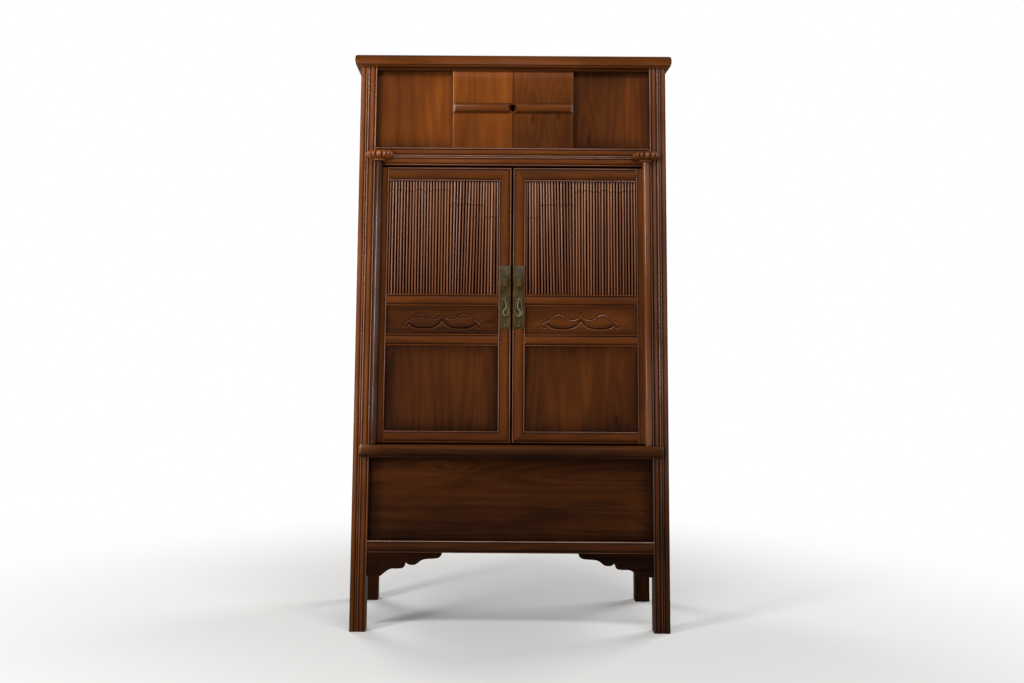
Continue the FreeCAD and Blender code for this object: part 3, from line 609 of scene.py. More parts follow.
class Shader:
    """A material or a world whose nodes are being added."""

    def __init__(self, name: str, world: bpy.types.World | None = None) -> None:
        """Start an empty tree, in a new material unless a world is given.

        Args:
            name: name of the material.
            world: world to fill instead.
        """
        self.owner = world or bpy.data.materials.new(name)
        self.owner.use_nodes = True
        self.tree = self.owner.node_tree
        self.tree.nodes.clear()

    def node(self, kind: str, settings: Mapping[str, object], inputs: Mapping) -> bpy.types.Node:
        """Add any node.

        Args:
            kind: type of the node.
            settings: its properties, set first; stops are a ramp's places and colours.
            inputs: values or links by the name or number of the socket.

        Returns:
            The node.
        """
        made = self.tree.nodes.new(kind)
        for name, setting in settings.items():
            if name == "stops":
                elements = made.color_ramp.elements
                while len(elements) < len(setting):
                    elements.new(0.5)
                for element, (place, colour) in zip(elements, setting):
                    element.position, element.color = place, colour
            else:
                setattr(made, name, setting)
        for key, source in inputs.items():
            source = source.socket if isinstance(source, Value) else source
            if isinstance(source, bpy.types.NodeSocket):
                self.tree.links.new(source, made.inputs[key])
            else:
                made.inputs[key].default_value = source
        return made

    def value(self, kind: str, settings: Mapping[str, object], inputs: Mapping,
              output: int | str = 0) -> Value:
        """Add any node and wrap one of its outputs as a number.

        Args:
            kind: type of the node.
            settings: its properties.
            inputs: values or links of its sockets.
            output: which output to wrap.

        Returns:
            The wrapped output.
        """
        return Value(self, self.node(kind, settings, inputs).outputs[output])

    def attribute(self, name: str, output: str) -> Value:
        """One of the piece's own attributes."""
        return self.value("ShaderNodeAttribute", {"attribute_name": name}, {}, output)

    def scaled(self, vector: Value, scale: Sequence[float]) -> Value:
        """Vector stretched by a scale on each axis."""
        return self.value("ShaderNodeVectorMath", {"operation": "MULTIPLY"}, {0: vector, 1: scale})

    def noise(self, vector: Value, detail: float, roughness: float = 0.5) -> Value:
        """Noise on a vector that is already stretched."""
        return self.value("ShaderNodeTexNoise", {}, {"Vector": vector, "Scale": 1.0, "Detail": detail,
                                                     "Roughness": roughness})

    def seen(self) -> Value:
        """One on rays from the camera, a mirror or glass, and zero on the rays that light things.

        Returns:
            The value.
        """
        rays = self.node("ShaderNodeLightPath", {}, {})
        names = ("Is Camera Ray", "Is Glossy Ray", "Is Transmission Ray")
        camera, glossy, through = (Value(self, rays.outputs[name]) for name in names)
        return (camera + glossy + through).clipped()

    def fade(self, value: Value, start: float, end: float) -> Value:
        """Smooth step from one at start to zero at end."""
        return self.value("ShaderNodeMapRange", {"interpolation_type": "SMOOTHSTEP"},
                          {0: value, 1: start, 2: end, 3: 1.0, 4: 0.0})

    def mix(self, factor: Source, first: Source, second: Source) -> bpy.types.NodeSocket:
        """Two colours mixed."""
        inputs = {0: factor, 6: first, 7: second}
        return self.node("ShaderNodeMix", {"data_type": "RGBA"}, inputs).outputs[2]

    def ramp(self, value: Value, stops: Sequence) -> bpy.types.NodeSocket:
        """Colour of a value between stops."""
        return self.node("ShaderNodeValToRGB", {"stops": stops}, {0: value}).outputs[0]

    def surface(self, inputs: Mapping, height: Value, strength: float, distance: float) -> bpy.types.Material:
        """End the tree in one glossy surface with a bump.

        Args:
            inputs: sockets of the surface's shader.
            height: height of the bump.
            strength: strength of the bump.
            distance: depth of the bump in metres.

        Returns:
            The material.
        """
        bump = self.node("ShaderNodeBump", {}, {"Strength": strength, "Distance": distance, "Height": height})
        skin = self.node("ShaderNodeBsdfPrincipled", {}, {**inputs, "Normal": bump.outputs[0]})
        self.node("ShaderNodeOutputMaterial", {}, {0: skin.outputs[0]})
        return self.owner


@dataclass(frozen=True)
class Timber:
    """Stained, lacquered wood, drawn on the piece's own grain, its rubbing and painted light, and its tone.
    """

    name: str
    stops: tuple
    figure: tuple[float, float, float]
    fibre: tuple[float, float, float]
    rings: float = 50.0
    ring_depth: float = 0.06
    fibre_depth: float = 0.2
    blotch_depth: float = 0.32
    wear_and_light_depth: float = 0.34
    knots: float = 0.2
    roughness: float = 0.38
    specular: float = 0.04
    coat: float = 0.0
    polish: float = 0.08
    bump: float = 0.12
    bump_depth: float = 0.5 * MM
    # Pale raw-wood colour: wood rubbed through, and painted highlight
    bare_and_highlight: tuple = srgb(176, 138, 104)
    knot_cells: tuple[float, float, float] = (2.6, 7.5, 1.0)
    knot_size: float = 0.07
    knot_reach: float = 0.42
    knot_bend: float = 0.16
    knot_dark: float = 0.14
    blotches: tuple[float, float, float] = (2.5, 7.0, 7.0)
    pores: tuple[float, float, float] = (60.0, 1500.0, 1500.0)
    gloss_from: float = 0.8
    bare_and_highlight_from: float = 1.1

    def material(self) -> bpy.types.Material:
        """Rings are contour lines of a stretched noise, bent round knots, under fibres and stain blotches.

        The rubbing and painted light value lightens the stain up to gloss_from, then brings out gloss, and
        past a higher threshold turns to a pale raw-wood colour: wood rubbed through, and painted highlight on
        narrow crests and rims.

        Returns:
            The material.
        """
        shader = Shader(self.name)
        grain = shader.attribute("grain", "Vector")
        wear = shader.attribute("wear", "Fac")
        tone = shader.attribute("tone", "Fac")
        cells = shader.node("ShaderNodeTexVoronoi", {"voronoi_dimensions": "2D"},
                            {"Vector": shader.scaled(grain, self.knot_cells), "Scale": 1.0})
        chosen = shader.value("ShaderNodeSeparateColor", {}, {0: cells.outputs["Color"]}) > 1 - self.knots
        near = Value(shader, cells.outputs["Distance"])
        knot = shader.fade(near, 0.01, self.knot_size) * chosen
        bend = shader.fade(near, 0.0, self.knot_reach) * chosen
        figure = shader.noise(shader.scaled(grain, self.figure), 1.2, 0.4) + bend * self.knot_bend
        rings = (figure * self.rings).sine() * 0.5 + 0.5
        fibre = shader.noise(shader.scaled(grain, self.fibre), 3.0, 0.6)
        blotch = shader.noise(shader.scaled(grain, self.blotches), 3.0, 0.55)
        pores = shader.noise(shader.scaled(grain, self.pores), 1.0)
        shade = (tone + (rings - 0.5) * self.ring_depth + (fibre - 0.5) * self.fibre_depth
                 + (blotch - 0.5) * self.blotch_depth
                 + (wear.least(self.gloss_from) - 0.5) * self.wear_and_light_depth - knot * self.knot_dark)
        bared_and_highlit = ((wear - self.bare_and_highlight_from) * 2.5 + (fibre - 0.5) * 0.8 + (blotch - 0.5) * 1.2).clipped()
        colour = shader.mix(bared_and_highlit, shader.ramp(shade, self.stops), self.bare_and_highlight)
        dull = (self.roughness + (fibre - 0.5) * 0.2 + (0.5 - wear) * 0.14 + (blotch - 0.5) * 0.2).clipped()
        gloss = (self.coat + (wear - self.gloss_from) * 4.0 + (blotch - 0.5) * 2.5 - bared_and_highlit).clipped()
        height = fibre * 0.7 + rings * 0.2 + pores * 0.35
        inputs = {"Base Color": colour, "Roughness": dull, "Coat Weight": gloss,
                  "Coat Roughness": self.polish, "Specular IOR Level": self.specular}
        return shader.surface(inputs, height, self.bump, self.bump_depth)


@dataclass(frozen=True)
class Brass:
    """Old brass gone olive-brown, with grey-green bloom and rubbed high spots."""

    name: str
    stops: tuple
    metallic: float
    bloom: float
    bloom_colour: tuple = srgb(98, 96, 78)
    clouds: tuple[float, float, float] = (38.0, 38.0, 24.0)
    flecks: tuple[float, float, float] = (420.0, 420.0, 420.0)
    roughness: float = 0.40
    specular: float = 0.1
    bump: float = 0.18
    bump_depth: float = 0.4 * MM

    def material(self) -> bpy.types.Material:
        """Cloudy patina over metal: noise at two sizes, and bloom where the piece's wear is below a half.

        Returns:
            The material.
        """
        shader = Shader(self.name)
        place = Value(shader, shader.node("ShaderNodeTexCoord", {}, {}).outputs["Object"])
        wear = shader.attribute("wear", "Fac")
        cloud = shader.noise(shader.scaled(place, self.clouds), 4.0, 0.6)
        fleck = shader.noise(shader.scaled(place, self.flecks), 3.0, 0.6)
        metal = shader.ramp(cloud * 0.7 + fleck * 0.3 + (wear - 0.5) * 0.5, self.stops)
        green = ((0.5 - wear) * 2 + (cloud - 0.5) * 1.2).clipped() * self.bloom
        colour = shader.mix(green, metal, self.bloom_colour)
        dull = (self.roughness + (cloud - 0.5) * 0.3 + green * 0.3 + (fleck - 0.5) * 0.2).clipped()
        metallic = (self.metallic - green * 0.4).clipped()
        inputs = {"Base Color": colour, "Roughness": dull, "Metallic": metallic,
                  "Specular IOR Level": self.specular}
        return shader.surface(inputs, cloud + fleck * 0.6, self.bump, self.bump_depth)


@dataclass(frozen=True)
class Paper:
    """Plain stage: a pale floor that turns white with distance where the camera or a reflection sees it."""

    name: str
    colour: tuple[float, float, float, float]
    near: float
    far: float
    least: float

    def material(self) -> bpy.types.Material:
        """Matt colour, mixed with white on camera and mirror rays from the near to the far radius.

        Returns:
            The material.
        """
        shader = Shader(self.name)
        place = shader.node("ShaderNodeTexCoord", {}, {}).outputs["Object"]
        radius = shader.value("ShaderNodeVectorMath", {"operation": "LENGTH"}, {0: place}, "Value")
        lifted = shader.seen() * (1 - shader.fade(radius, self.near, self.far) * (1 - self.least))
        matt = shader.node("ShaderNodeBsdfDiffuse", {}, {"Color": self.colour})
        white = shader.node("ShaderNodeEmission", {}, {"Color": (1.0, 1.0, 1.0, 1.0), "Strength": 1.0})
        both = shader.node("ShaderNodeMixShader", {}, {0: lifted, 1: matt.outputs[0], 2: white.outputs[0]})
        shader.node("ShaderNodeOutputMaterial", {}, {0: both.outputs[0]})
        return shader.owner


STAIN = ((0.0, srgb(14, 6, 3)), (0.2, srgb(42, 20, 8)), (0.4, srgb(72, 37, 14)), (0.6, srgb(104, 54, 18)),
         (0.8, srgb(141, 76, 25)), (1.0, srgb(190, 130, 78)))
CANE = ((0.0, srgb(14, 6, 3)), (0.3, srgb(54, 25, 10)), (0.55, srgb(98, 49, 19)), (0.8, srgb(138, 84, 44)),
        (1.0, srgb(200, 162, 130)))
OLD_BRASS = ((0.25, srgb(38, 29, 15)), (0.5, srgb(64, 49, 24)), (0.66, srgb(88, 70, 38)),
             (0.9, srgb(150, 128, 84)))
WIRE_BRASS = ((0.0, srgb(36, 30, 19)), (0.25, srgb(82, 73, 50)), (0.6, srgb(142, 130, 100)))
FRAME_WOOD = Timber("stained_frame_wood", STAIN, (1.1, 17.0, 17.0), (9.0, 330.0, 330.0), rings=46.0)
PANEL_WOOD = Timber("stained_panel_wood", STAIN, (0.9, 10.0, 10.0), (7.0, 260.0, 260.0), rings=58.0,
                    fibre_depth=0.15, blotch_depth=0.48, specular=0.035)
FINISHES = {
    Look.FRAME: FRAME_WOOD,
    Look.DULL_FRAME: replace(FRAME_WOOD, name="grimy_frame_wood", specular=0.02, roughness=0.55),
    Look.PANEL: PANEL_WOOD,
    Look.DULL_PANEL: replace(PANEL_WOOD, name="grimy_panel_wood", fibre_depth=0.2, blotch_depth=0.5,
                             knots=0.4, specular=0.02, roughness=0.55),
    Look.BAMBOO: Timber("split_bamboo", CANE, (0.8, 60.0, 60.0), (6.0, 420.0, 420.0), rings=12.0,
                        ring_depth=0.02, fibre_depth=0.14, blotch_depth=0.24, wear_and_light_depth=0.40, knots=0.0,
                        coat=1.0, polish=0.31, bump=0.0),
    Look.BRASS: Brass("patinated_brass", OLD_BRASS, metallic=0.25, bloom=0.55),
    Look.WIRE: Brass("rubbed_brass", WIRE_BRASS, metallic=0.5, bloom=0.0),
}


@dataclass
class Piece:
    """One visible piece: its shells, the finish it takes, the body it rides and the node it stands for."""

    node: str
    body: str
    look: Look
    shells: list[Surface]
    grain: Grain = Grain.ALONG_Z
    tone: float = 0.5
    hides: bool = True

    def place(self, materials: Mapping[Look, bpy.types.Material]) -> bpy.types.Object:
        """Join the shells into one mesh, give it its grain, its rubbing and painted light, and its tone, both
        darker towards the floor with painted shade, and hang it on its body.

        Args:
            materials: material of each finish.

        Returns:
            The object.
        """
        sizes = [len(shell.points) for shell in self.shells]
        starts = np.cumsum([0] + sizes[:-1])
        faces = [face for shell, start in zip(self.shells, starts) for face in shell.faces_out(start)]
        points = np.concatenate([shell.points for shell in self.shells])
        mesh = bpy.data.meshes.new(self.node)
        mesh.from_pydata(points.tolist(), [], faces)
        mesh.polygons.foreach_set("use_smooth", np.ones(len(faces), bool))
        mesh.set_sharp_from_angle(angle=CREASE)
        shifts = np.repeat(scatter(GRAIN_SPREAD, (len(sizes), 3)), sizes, axis=0)
        # Painted shade: tone and the rubbing value fall towards the floor
        low_shade = LOW_SHADE_TONE * (1 - points[:, 2] / LOW_SHADE_HEIGHT).clip(0, 1)
        tones = np.repeat([self.tone + shell.tone for shell in self.shells], sizes) - low_shade
        wear = np.concatenate([shell.wear for shell in self.shells]) - LOW_SHADE_ON_WEAR * low_shade
        self._attribute(mesh, "grain", "FLOAT_VECTOR", "vector", points[:, self.grain.value] + shifts)
        self._attribute(mesh, "wear", "FLOAT", "value", wear)
        self._attribute(mesh, "tone", "FLOAT", "value", tones)
        mesh.materials.append(materials[self.look])
        shown = bpy.data.objects.new("piece_" + self.node, mesh)
        bpy.context.scene.collection.objects.link(shown)
        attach(shown, self.body)
        if self.hides:
            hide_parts(self.node)
        return shown

    @staticmethod
    def _attribute(mesh: bpy.types.Mesh, name: str, kind: str, field: str, values: Array) -> None:
        """Write one attribute on the mesh's points."""
        layer = mesh.attributes.new(name, kind, "POINT")
        layer.data.foreach_set(field, np.ascontiguousarray(values, np.float32).ravel())


def pair(stem: str, body: str, look: Look, shells: list[Surface], grain: Grain,
         tones: tuple[float, float]) -> list[Piece]:
    """A right-hand piece and its mirrored twin.

    Args:
        stem: name of the node without its side.
        body: body of both, or the stem of a paired body.
        look: finish of both.
        shells: shells of the right-hand piece.
        grain: which way the fibres run.
        tones: tone of the left and of the right piece; where the left is the lighter, the difference is
            painted light from the left.

    Returns:
        Both pieces.
    """
    made = []
    for side, tone in zip(Side, tones):
        rides = body if body in frame["bodies"] else side.node(body)
        turned = [shell.mirrored(side) for shell in shells]
        made.append(Piece(side.node(stem), rides, look, turned, grain, tone))
    return made


def rim_grime_and_shade(rim: Array) -> Array:
    """Rubbing value of a panel by the distance from its rim: dark there with grime and painted shade, and
    clean beyond that width.
    """
    share = (rim / SHADE_AND_GRIME_WIDTH).clip(0, 1)
    return 0.62 * share * (2 - share)


def board(node: str, left: Edge, right: Edge, thickness: float) -> Surface:
    """Flat front panel of a node: a grid between two leaning edges, darker towards its rim with grime and
    painted shade.

    Args:
        node: the node whose height and face the panel takes.
        left: X of the left edge at a height.
        right: X of the right edge at a height.
        thickness: how far its back lies behind its face.

    Returns:
        The closed board.
    """
    _, (front, _), (low, high) = spans(node)
    z = stations(low, high, PANEL_ROUND, PANEL_ROWS)[:, None]
    share = np.linspace(0, 1, PANEL_COLUMNS)[None]
    x = left(z) * (1 - share) + right(z) * share
    rim = to_rim(x, left(z), right(z), z, low, high)
    return relief(lattice(x, front, z), flat_back(front + thickness), rim_grime_and_shade(rim))


@dataclass
class Posts:
    """Four leaning posts: reeded in front, plain behind."""

    reeds: tuple = (5.0, 13.0, 5.0, 4.0, 13.5)
    reed_gap: float = 2.0
    reed_base: float = 0.2
    reed_rise: float = 3.0
    reed_power: float = 1.15
    thin: float = 6.0
    # Crest lightening of thin and broad reeds: rubbing, and painted highlight that turns the thin crests
    # pale.
    thin_rub_and_light: float = 0.6
    broad_rub_and_light: float = 0.28
    edge: float = 2.5 * MM
    front_tones: tuple[float, float] = (0.51, 0.36)
    rear_tones: tuple[float, float] = (0.46, 0.42)

    def build(self) -> list[Piece]:
        """Carry the reeded or the plain section up the lean.

        Returns:
            The four posts.
        """
        front, back = span("post_front_right", 1)
        rear, rear_back = span("post_rear_right", 1)
        width = LAYOUT.outer_foot - LAYOUT.inner_foot
        strips = []
        for reed in self.reeds:
            strips += [Strip(self.reed_gap)] if strips else []
            rub_and_light = self.thin_rub_and_light if reed < self.thin else self.broad_rub_and_light
            rise = min(self.reed_rise, reed / 2) - self.reed_base
            strips += [Strip(reed, self.reed_base, rise, self.reed_power, rub_and_light)]
        section = post_section(strips, width, front + self.reed_rise * MM, back)
        plain = rounded([(0, rear), (width, rear), (width, rear_back), (0, rear_back)], self.edge)
        reeded, square = (along_z(profile, level(0.0), level(LAYOUT.post_top), LAYOUT.inner)
                          for profile in (section, plain))
        return (pair("post_front", "carcass", Look.FRAME, [reeded], Grain.ALONG_Z, self.front_tones)
                + pair("post_rear", "carcass", Look.DULL_FRAME, [square], Grain.ALONG_Z, self.rear_tones))


@dataclass
class FrontRails:
    """Moulded rails between the front posts, the head rail and the bullnose sill."""

    rail_rise: float = 4.0 * MM
    bottom_strips: tuple = (BEAD, QUIRK, band(27.0), QUIRK, RUBBED_BEAD)
    mid_strips: tuple = (SOFT_BEAD, QUIRK, Strip(14.5, 0.4, 3.2, rub_and_light=0.12), QUIRK, BEAD, Strip(1.0), BEAD,
                         QUIRK, Strip(14.5, 0.4, 3.2, rub_and_light=0.12), QUIRK, BEAD)
    track_clear: float = 0.4 * MM
    sill_flat: float = 31.0 * MM
    sill_end: float = 8.0 * MM
    sill_lap: float = 3.0 * MM
    sill_step: float = 6.0 * MM
    sill_edge: float = 0.8 * MM
    tongue_set: float = 4.0 * MM
    groove_height: float = 9.0 * MM

    def build(self) -> list[Piece]:
        """Carry each rail's section from post to post.

        Returns:
            The rails and the sill.
        """
        return [self.bottom(), self.mid(), self.head(), self.sill()]

    @staticmethod
    def between() -> tuple[End, End]:
        """Ends of a bar at the inner faces of both posts."""
        return lambda y, z: -LAYOUT.inner(z), lambda y, z: LAYOUT.inner(z)

    def bottom(self) -> Piece:
        """Bottom rail with a bead on each edge.

        Returns:
            The rail.
        """
        _, (front, back), height = spans("bottom_rail")
        section = bar_section(self.bottom_strips, *height, front + self.rail_rise, back)
        bar = along_x(section, *self.between())
        return Piece("bottom_rail", "carcass", Look.FRAME, [bar], Grain.ALONG_X, 0.40)

    def mid(self) -> Piece:
        """Middle rail: two bands with beads between and beside them, and the sliders' track along its top.

        Returns:
            The rail.
        """
        _, (front, back), (low, high) = spans("mid_rail")
        _, (near, far), (track, _) = spans("sliding_panel_right")
        near, far = near - self.track_clear, far + self.track_clear
        face = moulded(self.mid_strips, high - low)
        rest = [(near, high), (near, track), (far, track), (far, high), (back, high), (back, low)]
        bar = along_x(faced(face, low, front + self.rail_rise, rest), *self.between())
        return Piece("mid_rail", "carcass", Look.FRAME, [bar], Grain.ALONG_X, 0.44)

    def head(self) -> Piece:
        """Head rail under the top board, grooved below for the sliders' tongues.

        Returns:
            The rail.
        """
        _, (front, back), (low, high) = spans("head_rail")
        near, far = span("sliding_panel_right", 1)
        near, far = near + self.tongue_set - self.track_clear, far + self.track_clear
        roof = low + self.groove_height
        corners = [(front, low), (front, high), (back, high), (back, low),
                   (far, low), (far, roof), (near, roof), (near, low)]
        section = np.column_stack([np.array(corners), np.full(len(corners), 0.3)])
        bar = along_x(section, *self.between())
        return Piece("head_rail", "carcass", Look.DULL_FRAME, [bar], Grain.ALONG_X, 0.36)

    def sill(self) -> Piece:
        """Sill: a bullnose bar whose ends run past the posts and round off, on a body between the posts.

        Returns:
            The sill.
        """
        (_, reach), (front, back), (low, high) = spans("door_sill")
        lap = span("post_front_right", 1)[0] + self.sill_lap
        half = self.sill_flat / 2
        turn = np.linspace(-math.pi / 2, math.pi / 2, 25)
        # The nose is paler towards its top: rubbing, and painted highlight along the top edge.
        nose = np.column_stack([front + half * (1 - np.cos(turn)), high - half + half * np.sin(turn),
                                0.35 + 0.7 * np.sin(turn).clip(0) ** 2])
        step = front + half + self.sill_step
        rest = np.array([[lap, high, 0.5], [lap, low, 0.2], [step, low, 0.2],
                         [step, high - self.sill_flat, 0.2]])
        y, z, wear = np.concatenate([nose, rest]).T
        x = stations(-reach, reach, self.sill_end, 17)[:, None]
        proud = ((lap - y) / (lap - front)).clip(0, 1)
        setback = eased(reach - np.abs(x), self.sill_end) * proud
        # The left end is paled: rubbing, and painted light from the left.
        wear = wear + 0.9 * np.exp(-(x + reach) / self.sill_end) * (wear > 0.3)
        bar = tube(lattice(x, y + setback, z), wear)
        body = along_x(squared(lap, back, low, high, self.sill_edge), *self.between())
        return Piece("door_sill", "carcass", Look.FRAME, [bar, body], Grain.ALONG_X, 0.37)


@dataclass
class TopBoard:
    """Top board: one moulded edge carried round a rectangle with rounded corners."""

    corner: float = 10.0 * MM
    bead: float = 2.6 * MM
    tuck: float = 8.0 * MM
    quirk: float = 0.6 * MM
    top_round: float = 2.0 * MM
    rubbed: float = 5.0 * MM
    hollow: float = 2.5 * MM

    def build(self) -> list[Piece]:
        """Offset the plan inwards by the edge's setback at each height.

        Returns:
            The board.
        """
        low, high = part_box("top_board")
        turn = np.linspace(-math.pi / 2, math.pi / 2, 9)
        bead_in = self.tuck - self.bead * np.cos(turn)
        bead_up = self.bead * (1 + np.sin(turn))
        rise = np.linspace(0, 1, 12)
        face_low = bead_up[-1] + self.quirk
        face_up = face_low + (high[2] - low[2] - face_low) * rise
        face_in = self.hollow * (2 * rise - 1) ** 2 + eased((1 - rise) * (high[2] - low[2]), self.top_round)
        setback = np.concatenate([bead_in, [self.tuck], face_in, [face_in[-1] + self.rubbed]])
        height = low[2] + np.concatenate([bead_up, [face_low], face_up, face_up[-1:]])
        # Pale bead and dark quirk: painted highlight and painted shade; the face darkens towards its top.
        wear = np.concatenate([np.full(len(turn), 0.75), [0.1], 0.85 - 0.5 * rise ** 2, [0.3]])
        plan, outward = self.plan(low, high)
        rings = plan[None] - outward[None] * setback[:, None, None]
        grid = np.concatenate([rings, np.broadcast_to(height[:, None, None], (*rings.shape[:2], 1))], axis=-1)
        shell = tube(grid, wear[:, None])
        return [Piece("top_board", "carcass", Look.DULL_FRAME, [shell], Grain.ALONG_X, 0.44)]

    def plan(self, low: Sequence[float], high: Sequence[float]) -> tuple[Array, Array]:
        """Rounded rectangle: four quarter circles about the corners' centres, joined by straight runs.

        Args:
            low: lowest corner of the board.
            high: highest corner of the board.

        Returns:
            Points of the plan and the outward direction at each.
        """
        turn = np.linspace(0, 2 * math.pi, 4, endpoint=False)[:, None] + np.linspace(0, math.pi / 2, 9)[None]
        outward = np.stack([np.cos(turn), np.sin(turn)], axis=-1)
        right = np.array([1, 0, 0, 1], bool)
        behind = np.array([1, 1, 0, 0], bool)
        centre = np.stack([np.where(right, high[0] - self.corner, low[0] + self.corner),
                           np.where(behind, high[1] - self.corner, low[1] + self.corner)], axis=-1)
        return (centre[:, None] + outward * self.corner).reshape(-1, 2), outward.reshape(-1, 2)


@dataclass
class SideAndBack:
    """Framed sides and back: moulded rails and flat panels between the posts."""

    strips: tuple = (BEAD, QUIRK, band(26.0), QUIRK, BEAD)
    rise: float = 4.0 * MM
    lap: float = 6.0 * MM
    rail_depth: float = 30.0 * MM
    top_rail: float = 46.0 * MM
    panel_set: float = 12.0 * MM
    panel_depth: float = 10.0 * MM
    panel_lines: int = 21
    back_lines: int = 31

    def build(self) -> list[Piece]:
        """Carry the rails along the sides and the back, and fill the bays with panels.

        Returns:
            Rails and panels of both sides and of the back.
        """
        front, rear = span("post_front_right", 1)[1], span("post_rear_right", 1)[0]
        inset = LAYOUT.inset("side_rails_right")
        back = span("rear_rails", 1)[1]
        side_rails, rear_rails, side_panels, back_panels = [], [], [], []
        for low, high in self.levels():
            side_rails.append(along_y(self.section(low, high, inset, 1), front, rear, LAYOUT.outer))
            rear_rails.append(along_x(self.section(low, high, back, -1), *FrontRails.between()))
        for (_, low), (high, _) in zip(self.levels(), self.levels()[1:]):
            heights = (low - self.lap, high + self.lap)
            side_panels.append(self.side_panel(heights, (front - self.lap, rear + self.lap)))
            back_panels.append(self.back_panel(heights))
        return (pair("side_rails", "carcass", Look.FRAME, side_rails, Grain.ALONG_Y, (0.50, 0.44))
                + pair("side_panels", "carcass", Look.PANEL, side_panels, Grain.ALONG_Z, (0.46, 0.40))
                + [Piece("rear_rails", "carcass", Look.DULL_FRAME, rear_rails, Grain.ALONG_X, 0.38),
                   Piece("back_panels", "carcass", Look.DULL_PANEL, back_panels, Grain.ALONG_Z, 0.34)])

    @staticmethod
    def grimed_and_shaded(across: Array, up: Array) -> Array:
        """Rubbing value of a panel from its grid lines: darker along its rim with grime and painted shade."""
        return rim_grime_and_shade(to_rim(across[None], across[0], across[-1], up[:, None], up[0], up[-1]))

    def levels(self) -> list[tuple[float, float]]:
        """Heights of the four rails, from the front rails and the top of the side rails."""
        top = span("side_rails_right", 2)[1]
        return [span("bottom_rail", 2), span("door_sill", 2), span("mid_rail", 2), (top - self.top_rail, top)]

    def section(self, low: float, high: float, face: float, inward: int) -> Array:
        """Section of a rail: its moulding, and a square back.

        Args:
            low: Z of its lower edge.
            high: Z of its upper edge.
            face: where its face lies.
            inward: sign of the way into the cabinet.

        Returns:
            Columns of depth, z, and rubbing with painted light.
        """
        line = moulded(self.strips, high - low)
        depth = face + inward * self.rise - inward * line[:, 1]
        back = face + inward * self.rail_depth
        front = np.column_stack([depth, low + line[:, 0], line[:, 2]])
        return np.concatenate([front, [[back, high, 0.3], [back, low, 0.3]]])

    def side_panel(self, heights: tuple[float, float], depths: tuple[float, float]) -> Surface:
        """Panel of the right side: a grid in Y and Z that leans with the posts.

        Args:
            heights: lowest and highest Z.
            depths: first and last Y.

        Returns:
            The closed panel.
        """
        y, z = np.linspace(*depths, self.panel_lines), np.linspace(*heights, self.panel_lines)
        face = lattice((LAYOUT.outer(z) - self.panel_set)[:, None], y, z[:, None])
        return relief(face, lambda border: border - [self.panel_depth, 0, 0], self.grimed_and_shaded(y, z))

    def back_panel(self, heights: tuple[float, float]) -> Surface:
        """Panel of the back: a grid in X and Z between the rear posts.

        Args:
            heights: lowest and highest Z.

        Returns:
            The closed panel.
        """
        z, share = np.linspace(*heights, self.panel_lines), np.linspace(-1, 1, self.back_lines)
        x = share[None] * (LAYOUT.inner(z) + self.lap)[:, None]
        y = span("back_panels", 1)[1]
        return relief(lattice(x, y, z[:, None]), flat_back(y - self.panel_depth), self.grimed_and_shaded(x[0], z))


@dataclass
class Brackets:
    """Scalloped brackets under the bottom rail."""

    run: float = 241.0 * MM
    outer: tuple = ((1.0, 0.03), (0.985, 0.15), (0.93, 0.25), (0.75, 0.31), (0.65, 0.51), (0.57, 0.53),
                    (0.52, 0.44))
    inner: tuple = ((0.52, 0.44), (0.49, 0.64), (0.42, 0.69), (0.31, 0.71), (0.22, 0.90), (0.185, 1.0))
    edge: float = 3.0 * MM
    let_in: float = 4.0 * MM

    def build(self) -> list[Piece]:
        """Carry a rounded section along the scalloped edge, as deep as the drop there.

        Returns:
            Both brackets.
        """
        _, (front, back), (low, _) = spans("apron_bracket_right")
        top = span("bottom_rail", 2)[0] + self.let_in
        line = np.concatenate([smooth_line(self.outer)[:-1], smooth_line(self.inner), [[0.0, 1.0]]])
        drop = (line[:, 1] * (top - self.let_in - low) + self.let_in)[:, None]
        turn = np.linspace(0, math.pi, 9)
        y = np.concatenate([[front], front + (back - front) * (1 - np.cos(turn)) / 2, [back]])
        lift = np.concatenate([[1.0], 0 * turn, [1.0]])
        round_up = np.concatenate([[0.0], self.edge * (1 - np.sin(turn)), [0.0]])
        z = top - drop * (1 - lift) + np.minimum(round_up, drop * 0.5)
        x = LAYOUT.inner(z) - line[:, :1] * self.run
        shell = tube(lattice(x, y, z), 0.3)
        return pair("apron_bracket", "carcass", Look.DULL_FRAME, [shell], Grain.ALONG_X, (0.34, 0.30))


